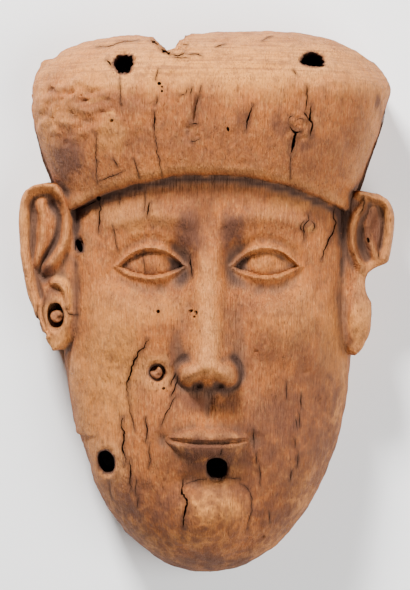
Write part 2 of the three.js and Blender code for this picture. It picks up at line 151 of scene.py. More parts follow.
def face_z(x, y):
    side = np.abs(x - FACE_X)
    across = np.minimum(1, side / face_half(y))
    long = np.sqrt(1 - (np.abs(np.minimum(y, 0)) / FACE_LENGTH) ** 6)
    dome = (1 - across**2.8) ** 0.55
    return EDGE_Z + FACE_RISE * long * dome + relief(side, y) * smooth(1, 0.9, across)


def grid_lines(*zones):
    """Values from -1 to 1, evenly spaced inside each zone (from, to, steps)."""
    lines = [zones[0][0]]
    for start, end, steps in zones:
        lines += list(np.linspace(start, end, steps + 1)[1:])
    lines = np.array(lines)
    return 2 * (lines - lines[0]) / (lines[-1] - lines[0]) - 1


def read_vertices(piece):
    """The piece's vertices as they are stored, one row each."""
    flat = np.empty(len(piece.data.vertices) * 3)
    piece.data.vertices.foreach_get("co", flat)
    return flat.reshape(-1, 3)


def move_vertices(piece, places):
    """Moves the piece's vertices to places given in the carving's millimetres."""
    piece.data.vertices.foreach_set("co", ((places + ORIGIN_SHIFT) * MM).ravel())
    piece.data.update()


def carve_blank(name, columns, rows, rings, place):
    """A grid extruded into a closed block in rings, each vertex then moved to where the
    carving puts it: place(column, row, depth) with depth 0 on the front and 1 at the back."""
    bpy.ops.object.select_all(action="DESELECT")
    bpy.ops.mesh.primitive_grid_add(
        x_subdivisions=len(columns) - 1, y_subdivisions=len(rows) - 1, size=2
    )
    piece = bpy.context.object
    piece.name = name
    bpy.ops.object.mode_set(mode="EDIT")
    for _ in range(rings):
        bpy.ops.mesh.extrude_region_move(TRANSFORM_OT_translate={"value": (0, 0, 1)})
    bpy.ops.mesh.select_all(action="SELECT")
    bpy.ops.object.mode_set(mode="OBJECT")
    grid_x, grid_y, ring = read_vertices(piece).T
    across = np.rint((grid_x + 1) / 2 * (len(columns) - 1)).astype(int)
    along = np.rint((grid_y + 1) / 2 * (len(rows) - 1)).astype(int)
    x, y, z = place(columns[across], rows[along], 1 - ring / rings)
    move_vertices(piece, np.stack([x, y, z], axis=1))
    bpy.ops.object.mode_set(mode="EDIT")
    bpy.ops.mesh.normals_make_consistent(inside=False)
    bpy.ops.object.mode_set(mode="OBJECT")
    return piece


def run_back(front, depth):
    return front + (-BELOW - front) * depth


face_columns = grid_lines(
    (-73, -66, 10), (-66, -46, 15), (-46, -11, 44), (-11, 11, 28),
    (11, 46, 44), (46, 66, 15), (66, 73, 10),
)
face_rows = grid_lines(
    (-135.8, -132, 5), (-132, -117, 14), (-117, -80, 30), (-80, -59, 28), (-59, -44, 14),
    (-44, -28, 24), (-28, 4, 27), (4, 30, 38), (30, 46, 14), (46, 76, 14),
)


def place_face(column, row, depth):
    y = FACE_LOW + (FACE_HIGH - FACE_LOW) * (row + 1) / 2
    side = face_half(y) * column
    lift = BACK_TAPER * depth * smooth(-105, FACE_LOW, y)
    x = FACE_X + side - BACK_TAPER * depth * column
    return x, y + lift, run_back(face_z(FACE_X + side, y), depth)


mask = carve_blank("mask_wood", face_columns, face_rows, FACE_RINGS, place_face)

# The cap of the headcloth
# The plain cap flares out above the ears and overhangs the forehead with a soft round edge.
# It is the same block of wood; a chip is missing from its top edge.

CAP_EDGE_Z = 26.0
CAP_LEFT, CAP_RIGHT = 88.2, 92.4
CAP_CORNER_Y, CAP_FOOT_Y = 119.5, 55.0
CAP_FRONT, CAP_FRONT_Y = 84.0, 97.0
CAP_TOP_Y = 133.2
CAP_LEFT_FLARE, CAP_RIGHT_FLARE = 11.2, 17.0
BAND_Y, BAND_DROP, BAND_ROUND = 61.0, 15.5, 5.0
NOTCH_X = -18.8  # the missing chip, a steep bite inside a shallow one
NOTCH_DEPTH, NOTCH_HALF = 7.4, 9
SHOULDER_DEPTH, SHOULDER_HALF = 4.0, 22


def cap_crest(x):
    crest = CAP_TOP_Y + 2.2 * smooth(-36, 27, x)
    left = 13.7 * (np.clip(-36 - x, 0, None) / 48) ** 2.2
    right = 15.9 * (np.clip(x - 27, 0, None) / 57) ** 2.6
    return crest - left - right


def cap_top(x):
    bite = NOTCH_DEPTH * swell(x, 0, NOTCH_X, 0, NOTCH_HALF, 1)
    shoulders = SHOULDER_DEPTH * swell(x, 0, NOTCH_X + 0.3, 0, SHOULDER_HALF, 1)
    return cap_crest(x) - (bite + shoulders)


def cap_left(y):
    flare = CAP_LEFT_FLARE * np.sin(math.pi / 2 * np.clip((y - 60) / 42, -0.15, 1))
    rounding = 4.7 * (np.clip(y - 102, 0, None) / 17.5) ** 2
    return -(CAP_LEFT - CAP_LEFT_FLARE + flare - rounding)


def cap_right(y):
    flare = CAP_RIGHT_FLARE * np.clip((105.7 - y) / 48.7, 0, 1.05) ** 1.15
    rounding = 8.2 * (np.clip(y - 105.7, 0, None) / 13.8) ** 1.6
    return CAP_RIGHT - flare - rounding


def cap_band(x):
    side = np.abs(x - FACE_X)
    return BAND_Y - BAND_DROP * (side / 66) ** 2 + 1.3 * np.clip(side - 68, 0, None)


def cap_z(x, y):
    """The height of the cap: rounded to both sides and over the top, proud of the brow."""
    level = np.minimum(y, CAP_CORNER_Y)
    middle = (cap_left(level) + cap_right(level)) / 2
    half = (cap_right(level) - cap_left(level)) / 2
    side = (1 - np.minimum(1, np.abs(x - middle) / half) ** 2.6) ** 0.55
    over = np.clip((y - CAP_FRONT_Y) / (cap_crest(x) - CAP_FRONT_Y), 0, 1)
    lean = 6 * (np.clip(CAP_FRONT_Y - y, 0, None) / 37) ** 2
    inset = np.clip((y - cap_band(x)) / BAND_ROUND, 0, 1)
    edge = BAND_ROUND * (1 - np.sqrt(1 - (1 - inset) ** 2))
    roll = (1 - over**2.2) ** 0.6
    return CAP_EDGE_Z + (CAP_FRONT - CAP_EDGE_Z - lean) * side * roll - edge * side


cap_columns = grid_lines((-1, -0.93, 10), (-0.93, 0.93, 156), (0.93, 1, 10))
cap_rows = grid_lines((0, 0.1, 12), (0.1, 0.85, 60), (0.85, 1, 16))


def place_cap(column, row, depth):
    s, t = (column + 1) / 2, (row + 1) / 2
    side_y = CAP_FOOT_Y + (CAP_CORNER_Y - CAP_FOOT_Y) * t
    low_x = cap_left(CAP_FOOT_Y) * (1 - s) + cap_right(CAP_FOOT_Y) * s
    high_x = cap_left(CAP_CORNER_Y) * (1 - s) + cap_right(CAP_CORNER_Y) * s
    x = cap_left(side_y) * (1 - s) + cap_right(side_y) * s
    low, high = cap_band(low_x) - CAP_FOOT_Y, cap_top(high_x) - CAP_CORNER_Y
    y = side_y + low * (1 - t) + high * t
    lower = y - BACK_TAPER * depth * np.clip(y - 110, 0, None) / 25
    return x * (1 - BACK_TAPER * depth / CAP_LEFT), lower, run_back(cap_z(x, y), depth)


cap = carve_blank("cap", cap_columns, cap_rows, RINGS, place_cap)

# The ears
# Each ear is an oval that faces forward: a rolled rim, a groove beside it, a hollow and a
# full lobe. The middle of the ear at the right is broken away and stays so.

# Raised and sunk lines are (height or depth, half width, path).
LEFT_EAR = {
    "side": -1, "low": -24.5, "high": 58.8, "turn": 36, "over": 6, "draw": 2.2,
    "reach": 93.7, "top": 76, "foot": 76.8, "inner": 65, "inner_ends": 6.5, "broken": None,
    "raised": [
        (5, 2.8, [(76, 56.5), (82, 57), (88.5, 55), (91.2, 49), (91.8, 37), (91, 24),
                  (89.3, 11), (86.5, 1), (83.5, -8), (79, -17)]),
        (4.8, 2.9, [(75.8, 56.2), (70.8, 50.8), (68.7, 44), (68.7, 36), (70.8, 28.3),
                    (74.9, 21.6), (78.7, 17.4)]),
        (3, 2.6, [(82.4, 49), (81.6, 38), (82.8, 28), (85.3, 19)]),
        (5.8, 2.3, [(75.6, 9.0), (72.6, 8.4), (70.4, 5.4), (69.4, 1.2), (69.0, -2.5)]),
    ],
    "sunk": [
        (2.3, 1.8, [(77.8, 48.7), (74.5, 44), (73.3, 38.3), (74.1, 32.4), (77.4, 25.8),
                    (81.6, 19.9), (83.3, 14), (81.2, 11.6)]),
        (1.6, 1.3, [(87.6, 51), (87.2, 41), (87, 30), (86.6, 22), (85.4, 14), (82, 2)]),
        (1.4, 1.2, [(66.0, 12), (66.3, 2), (66.5, -10), (68.5, -19)]),
    ],
    "lobe": (75, -8, 15, 21, 6),
}
RIGHT_EAR = {
    "side": 1, "low": -26.8, "high": 54.6, "turn": 37, "over": 4, "draw": 1.6,
    "reach": 93.2, "top": 75, "foot": 73.7, "inner": 66, "inner_ends": 4,
    "broken": {"y": 7.5, "half": 8, "depth": 3.2, "lobe": 81.8, "from": 14.5, "to": 20.5},
    "raised": [
        (5, 2.2, [(76, 53), (81.8, 51.5), (88.5, 49), (91, 43), (91.2, 36), (90.2, 29),
                  (88.2, 21)]),
        (4.5, 1.7, [(78.4, 51.5), (77.4, 46.8), (73.8, 41.8), (72.2, 36.8), (71.8, 30.8),
                    (73.2, 23.8), (76.2, 17.2)]),
        (2.2, 2.4, [(83, 46), (80, 38), (79.5, 32), (83.5, 24), (86.5, 20)]),
    ],
    "sunk": [
        (3, 2.2, [(77, 35), (77.5, 28), (80, 21)]),
        (2.4, 1.8, [(85.5, 47), (88.2, 40), (88, 33), (86.6, 27)]),
        (1.6, 1.0, [(70.4, 44), (69.8, 34), (70.4, 25), (73.6, 16)]),
    ],
    "lobe": (76, -8, 12, 20, 6),
}
EAR_Z = 42  # height of the ear's plain face beside the temple
EAR_SLOPE = 0.33  # how fast it falls away from the face
EAR_ROUND = 2
EAR_INSET = 12  # how far the inner edge of an ear runs in under the face towards the back


def ear_inner(ear, y):
    middle = (ear["low"] + ear["high"]) / 2
    return ear["inner"] + ear["inner_ends"] * (np.abs(y - middle) / (ear["high"] - middle)) ** 12


def ear_outer(ear, y):
    over = np.clip(y - ear["turn"], 0, None) / (ear["high"] - ear["turn"] + 0.1)
    under = np.clip(ear["turn"] - y, 0, None) / (ear["turn"] - ear["low"])
    helix = ear["top"] + (ear["reach"] - ear["top"]) * np.sqrt(1 - over ** ear["over"])
    whole = helix - (ear["reach"] - ear["foot"]) * under ** ear["draw"]
    broken = ear["broken"]
    if not broken:
        return whole
    lobe_top = broken["y"] - broken["half"] - 2.5
    down = np.clip(lobe_top - y, 0, None) / (lobe_top - ear["low"])
    lobe = broken["lobe"] + (ear["foot"] - broken["lobe"]) * down**3
    gone = 1 - (np.abs(y - broken["y"]) / broken["half"]) ** 3
    share = smooth(broken["from"], broken["to"], y)
    return lobe * (1 - share) + whole * share - broken["depth"] * np.clip(gone, 0, None)


def rounded(path):
    """The same path drawn as a smooth curve through its points."""
    points = np.array([path[0], *path, path[-1]], dtype=float)
    curve = []
    for a, b, c, d in zip(points, points[1:], points[2:], points[3:]):
        for t in (0, 0.25, 0.5, 0.75):
            curve.append(0.5 * (
                2 * b + (c - a) * t + (2 * a - 5 * b + 4 * c - d) * t**2
                + (3 * b - a - 3 * c + d) * t**3
            ))
    return curve + [points[-1]]


def path_distance(x, y, path):
    nearest = np.full(np.shape(x), np.inf)
    for (ax, ay), (bx, by) in zip(path, path[1:]):
        length = (bx - ax) ** 2 + (by - ay) ** 2
        share = np.clip(((x - ax) * (bx - ax) + (y - ay) * (by - ay)) / length, 0, 1)
        away = np.hypot(x - ax - (bx - ax) * share, y - ay - (by - ay) * share)
        nearest = np.minimum(nearest, away)
    return nearest


def highest(lines, x, y, start):
    """The highest of some rounded lines, or of the start where that is higher."""
    for height, width, path in lines:
        start = np.maximum(start, height * bell(path_distance(x, y, rounded(path)) / width))
    return start


def ear_z(ear, side, y):
    """The height of the ear's front, which runs softly into the side of the face."""
    inner = ear_inner(ear, y)
    lobe_x, lobe_y, radius_x, radius_y, full = ear["lobe"]
    lobe = full * swell(side, y, lobe_x, lobe_y, radius_x, radius_y)
    raised = highest(ear["raised"], side, y, lobe)
    sunk = highest(ear["sunk"], side, y, 0)
    edge = np.clip((ear_outer(ear, y) - side) / EAR_ROUND, 0, 1)
    round_edge = EAR_ROUND * (1 - np.sqrt(1 - (1 - edge) ** 2))
    carved = EAR_Z - EAR_SLOPE * (side - inner) - round_edge + raised - sunk
    share = smooth(0, 6, side - inner)
    return (face_z(FACE_X + inner, y) - 0.6) * (1 - share) + carved * share


ear_columns = grid_lines((0, 0.1, 5), (0.1, 0.9, 36), (0.9, 1, 6))
ear_rows = grid_lines((0, 0.06, 7), (0.06, 0.94, 72), (0.94, 1, 8))


def make_ear(name, ear):
    def place(column, row, depth):
        t = (row + 1) / 2
        y = ear["low"] + (ear["high"] - ear["low"]) * t
        share = (ear["side"] * column + 1) / 2
        side = ear_inner(ear, y) * (1 - share) + ear_outer(ear, y) * share
        inward = depth * (EAR_INSET + (BACK_TAPER - EAR_INSET) * share)
        lift = BACK_TAPER * depth * (t < 0.001)  # at the foot of the lobe only
        return ear["side"] * (side - inward), y + lift, run_back(ear_z(ear, side, y), depth)

    return carve_blank(name, ear_columns, ear_rows, RINGS, place)


left_ear = make_ear("left_ear", LEFT_EAR)
right_ear = make_ear("right_ear", RIGHT_EAR)


def work(piece, tool, operation):
    """Joins another shape to the piece or cuts it away, and clears the other shape."""
    step = piece.modifiers.new(operation, "BOOLEAN")
    step.operation = operation
    step.solver = "MANIFOLD"
    step.object = tool
    bpy.ops.object.select_all(action="DESELECT")
    bpy.context.view_layer.objects.active = piece
    bpy.ops.object.modifier_apply(modifier=step.name)
    bpy.data.objects.remove(tool, do_unlink=True)


for part in (cap, left_ear, right_ear):
    work(mask, part, "UNION")


def edit_all(piece):
    """Opens the piece in edit mode with all of it selected."""
    piece.select_set(True)
    bpy.ops.object.mode_set(mode="EDIT")
    bpy.ops.mesh.select_all(action="SELECT")


# The back is planed flat.
edit_all(mask)
bpy.ops.mesh.bisect(
    plane_co=(0, 0, 0), plane_no=(0, 0, 1), use_fill=True, clear_inner=True, clear_outer=False
)
bpy.ops.object.mode_set(mode="OBJECT")

# The carved surface
# The finished block keeps shallow tool facets, wood grain that stands up along the face, saw
# lines over the top of the cap, and the dents, flakes and knots that age has left.


def vertex_places(piece):
    """The piece's vertices in the carving's millimetres."""
    return read_vertices(piece) / MM - ORIGIN_SHIFT


def vertex_normals(piece):
    flat = np.empty(len(piece.data.vertices) * 3)
    piece.data.vertex_normals.foreach_get("vector", flat)
    return flat.reshape(-1, 3)


def grain(places, size_x, size_y, size_z, seed):
    """Smooth noise about -1 to 1 with lumps of the given sizes in millimetres."""
    scaled = places / np.array([size_x, size_y, size_z]) + seed * 17.3
    return np.array([noise.noise(Vector(point)) for point in scaled])


# Dents: x, y, radius x, radius y, depth
DENTS = [
    (-60, 97, 4, 2, 0.9), (-77, 122.5, 5, 4.4, 1.3), (-83, 117.5, 4, 4, 0.8),
    (62, 104, 5, 2.5, 0.8), (-15, 108, 7, 3, 1.0), (70, 78, 4, 6, 0.7), (29, 112, 9, 3, 0.7),
    (40, -70, 5, 8, 0.5), (-40, -105, 7, 5, 0.7), (22, -118, 8, 5, 0.6), (-60, -30, 5, 9, 0.6),
    (55, -20, 7, 9, 0.6), (-10, 50, 9, 4, 0.5), (-67.3, -71, 3.0, 3.4, 2.0),
    (-71.3, -56, 2.6, 3.0, 1.4), (-80.8, -16.7, 1.6, 2.2, 1.2), (-84.2, -9.5, 1.4, 2.0, 0.9),
    (-45.5, 99.5, 3.4, 2.2, 0.8), (-28, 89, 3, 5, 0.5), (15, 66, 8, 3, 0.4),
    (-68.9, 77.2, 1.6, 2.0, 1.0), (-77.3, 104.4, 1.6, 1.4, 1.0), (-66.1, 101.6, 2.0, 1.5, 1.1),
    (-64.1, 88.9, 2.0, 1.3, 0.8), (-9.1, 83.2, 1.8, 1.2, 0.8), (-9.1, 80.6, 1.6, 1.2, 0.8),
    (-4.8, 79.2, 1.6, 1.4, 0.8), (-41.3, 93.8, 1.3, 1.6, 0.8), (-56.8, -87.7, 1.6, 1.6, 1.0),
    (48.3, -34.6, 2.0, 1.5, 0.8), (27.6, -21.2, 1.8, 1.4, 0.9), (23.7, -24.5, 1.6, 1.2, 0.8),
    (-9.2, -1.5, 1.2, 1.1, 0.8), (-19.6, -43.9, 1.2, 1.1, 0.8), (-89.5, 12.0, 1.4, 1.4, 0.8),
    (-79.2, -14.3, 1.4, 1.4, 0.8), (57.6, 52.9, 1.6, 1.2, 0.8), (-46.0, 86.6, 2.2, 1.8, 0.9),
]
# Soft hollows worn into the cap: depth, half width, path
GROOVES = [
    (0.9, 1.6, [(-80.4, 107.1), (-77.0, 104.1), (-73.8, 101.7), (-70.7, 102.2), (-68.1, 100.5),
                (-65.1, 102.1)]),
    (0.7, 1.5, [(-59.0, 100.2), (-55.1, 101.5), (-50.1, 102.1), (-42.8, 101.6)]),
    (0.8, 2.2, [(-60.5, 96.9), (-55.5, 95.2), (-49.6, 96.0), (-44.8, 93.9)]),
    (0.8, 1.8, [(-52.6, 90.8), (-48.7, 91.9), (-43.3, 90.5)]),
    (0.7, 1.6, [(-71.9, 79.8), (-69.9, 76.6), (-68.0, 82.0)]),
    (0.6, 2.2, [(-38.4, 99.1), (-32.6, 97.0), (-27.3, 97.9)]),
    (0.8, 1.5, [(-30.2, 94.6), (-26.9, 93.6), (-24.5, 94.8)]),
    (0.8, 1.5, [(53.0, 106.7), (55.5, 108.6), (58.5, 108.0)]),
    (0.7, 1.6, [(-11.1, 83.0), (-8.7, 81.6), (-10.1, 78.7), (-8.2, 76.8)]),
    (0.5, 1.2, [(-2.0, 126.9), (10.1, 127.4)]),
    (0.5, 1.2, [(-27.6, 118.1), (-18.8, 116.4), (-8.2, 115.8)]),
    (0.7, 2.0, [(44.6, 99.1), (44.2, 95.3), (43.4, 91.5)]),
    (0.6, 1.4, [(46.3, 99.2), (46.1, 95.3), (45.4, 92.0)]),
    (0.6, 2.5, [(-79.7, 91.6), (-71.7, 89.4), (-64.1, 88.9), (-57.6, 86.7)]),
    (0.5, 1.5, [(-34.6, 79.4), (-33.7, 74.6), (-32.7, 70.8)]),
    (0.5, 1.4, [(-31.2, 80.8), (-30.3, 76.0), (-29.3, 72.7)]),
    (0.5, 1.4, [(-37.8, 80.4), (-37.3, 76.1), (-36.6, 71.8)]),
    (0.5, 1.4, [(-26.9, 80.3), (-26.2, 75.5), (-26.0, 71.7)]),
    (0.6, 2.0, [(23.0, 112.1), (37.5, 113.4)]),
    (0.5, 1.6, [(3.8, 110.0), (18.2, 109.1)]),
    (1.2, 1.0, [(-4.1, 97.3), (-5.1, 93.9), (-5.8, 90.1), (-6.2, 87.0)]),
]
# Knots: x, y, radius
KNOTS = [(44.5, 86.0, 5.4), (49.3, 36.7, 3.4), (-13.8, -98.7, 4.0), (26.6, -21.1, 5.0)]
KNOT_SQUASH = 0.85  # a knot is a little longer than wide
# Broken places: x, y, radius x, radius y
BROKEN_NOTCH = (-17, 126, 20, 12)
RUMPLED_CORNER = (-64, 96, 40, 30)
TORN_KNOT = (45, 85, 9, 12)
THROUGH = -3  # the floor of a cutter that goes right through the back
CAP_HOLES_ABOVE = 100  # the holes above this height are broken out rather than worn round
# Holes: x, y, half width, half height, tilt, taper, squareness, floor
HOLES = [
    (-40.4, 114.8, 4.5, 4.7, 0.06, 0.30, 3.2, THROUGH),
    (51.2, 117.5, 5.2, 3.7, -0.05, -0.12, 3.6, THROUGH),
    (-49.7, -79.1, 4.2, 5.7, 0.25, 0.0, 2.2, THROUGH),
    (4.7, -80.8, 5.2, 5.3, 0.0, 0.0, 2.1, THROUGH),
    (-63.3, 27.5, 1.5, 3.4, 0.35, 0.0, 2.0, 34),
    (-75.1, -7.0, 4.1, 6.2, 0.10, 0.0, 2.4, 33),
    (-24.1, -33.9, 3.9, 4.0, 0.0, 0.0, 2.0, 64),
]


def from_hole(hole, x, y):
    """Distance from the middle of a hole, 1 at its rim."""
    return np.hypot((x - hole[0]) / hole[2], (y - hole[1]) / hole[3])


def from_knot(knot_x, knot_y, x, y):
    return np.hypot(x - knot_x, (y - knot_y) * KNOT_SQUASH)


def roughen(piece):
    """Moves each vertex out or in along its normal by everything that marks the surface."""
    at = vertex_places(piece)
    x, y, z = at.T
    top = smooth(104, 112, y)
    height = 0.55 * grain(at, 11, 17, 16, 1)  # tool facets
    height += 0.45 * grain(at, 5, 8, 7, 12)
    height += 0.20 * grain(at, 2.1, 26, 6, 2) * (1 - 0.6 * top)  # grain that stands up
    height += 0.14 * grain(at, 1.3, 7, 3, 3)
    height += 0.30 * grain(at, 30, 2.2, 30, 4) * top  # saw lines
    height += 0.8 * np.minimum(0, grain(at, 6, 9, 7, 5) + 0.3)  # worn patches
    height += 0.8 * np.minimum(0, grain(at, 1.8, 5.5, 3, 10) + 0.45)  # small pits
    for hole in HOLES:
        away = from_hole(hole, x, y)
        if hole[1] > CAP_HOLES_ABOVE:  # broken rims, torn along the grain
            away = away + 0.5 * grain(at, 2.2, 1.6, 30, 15)
            height -= (1.9 + 1.8 * grain(at, 2, 1.6, 3, 11)) * smooth(1.6, 0.9, away)
        else:  # rims worn round
            height -= (0.9 + 0.6 * grain(at, 2, 2, 3, 11)) * smooth(1.45, 1.0, away)
            lower = np.hypot((x - hole[0]) / hole[2], (y - hole[1]) / hole[3] + 0.35)
            height -= 1.8 * smooth(1.15, 0.8, lower)
    torn = 1.7 * grain(at, 3.0, 2.4, 3.4, 6) + 1.4 * grain(at, 1.6, 1.2, 1.6, 14)
    height += torn * swell(x, y, *BROKEN_NOTCH)
    for deep, wide, path in GROOVES:
        height -= deep * bell(path_distance(x, y, rounded(path)) / wide)
    for *dent, deep in DENTS:
        height -= deep * swell(x, y, *dent)
    rumpled = swell(x, y, *RUMPLED_CORNER)
    height += 1.7 * grain(at, 11, 4.5, 8, 7) * rumpled
    height += 2.2 * np.minimum(0, grain(at, 3.6, 1.7, 3, 13) + 0.2) * rumpled
    height += 2.0 * grain(at, 2.4, 3.2, 3, 8) * swell(x, y, *TORN_KNOT)
    for knot_x, knot_y, radius in KNOTS:
        away = from_knot(knot_x, knot_y, x, y)
        height += 0.7 * bell(away / radius)
        height += 0.22 * np.sin(away * 2.6) * bell(away / radius)
    flaked = smooth(-66.3, -67.6, y) * smooth(-100, -78, y) * smooth(-52, -62, x)
    height -= (1.3 + 0.4 * grain(at, 3, 3, 9, 17)) * flaked  # the edge of the jaw
    height *= smooth(0.5, 5, z)  # the back stays flat
    moved = at + vertex_normals(piece) * height[:, None]
    moved[z < 0.01] = at[z < 0.01]
    move_vertices(piece, moved)


roughen(mask)

# Peg holes, dowel pockets and splits
# Four holes are bored straight through for the pegs that held the mask to a coffin lid; two
# smaller ones still hold a dowel. The wood has split along the grain and broken at edges.

CUTTER_TOP = 110.0  # well above the tip of the nose
SKY = 200  # the height from which the surface is looked for
# Dowels: x, y, radius, height of the top
EAR_DOWEL = (-74.6, -7.4, 3.2, 40.0)
CHEEK_DOWEL = (-24.6, -34.6, 2.9, 68.5)
DOWEL_PLAY = 0.35
BORE_SEED = 20


def hole_cutter(x, y, rx, ry, tilt, taper, square, floor_z, seed, sides=72):
    """A cylinder whose outline is squared and worn uneven, standing on the hole's floor."""
    bpy.ops.object.select_all(action="DESELECT")
    bpy.ops.mesh.primitive_cylinder_add(vertices=sides, radius=1, depth=2)
    tool = bpy.context.object
    c, s, end = read_vertices(tool).T
    radius = (np.abs(c) ** square + np.abs(s) ** square) ** (-1 / square)
    wear = 0.09 * grain(np.stack([c, s, seed * 9.1 + end * 0], axis=1), 0.6, 0.6, 1, seed)
    if y > CAP_HOLES_ABOVE:
        wear += 0.26 * grain(np.stack([c, s, seed * 3.3 + end * 0], axis=1), 0.3, 0.3, 1, seed)
    radius = radius * (1 + wear)
    px, py = rx * radius * c * (1 + taper * radius * s), ry * radius * s
    places = np.stack([
        x + px * math.cos(tilt) - py * math.sin(tilt),
        y + px * math.sin(tilt) + py * math.cos(tilt),
        np.where(end < 0, floor_z, CUTTER_TOP),
    ], axis=1)
    move_vertices(tool, places)
    return tool


for number, hole in enumerate(HOLES):
    work(mask, hole_cutter(*hole, number), "DIFFERENCE")
for x, y, radius, _ in (EAR_DOWEL, CHEEK_DOWEL):
    bore = radius + DOWEL_PLAY
    work(mask, hole_cutter(x, y, bore, bore, 0, 0, 2, THROUGH, BORE_SEED), "DIFFERENCE")

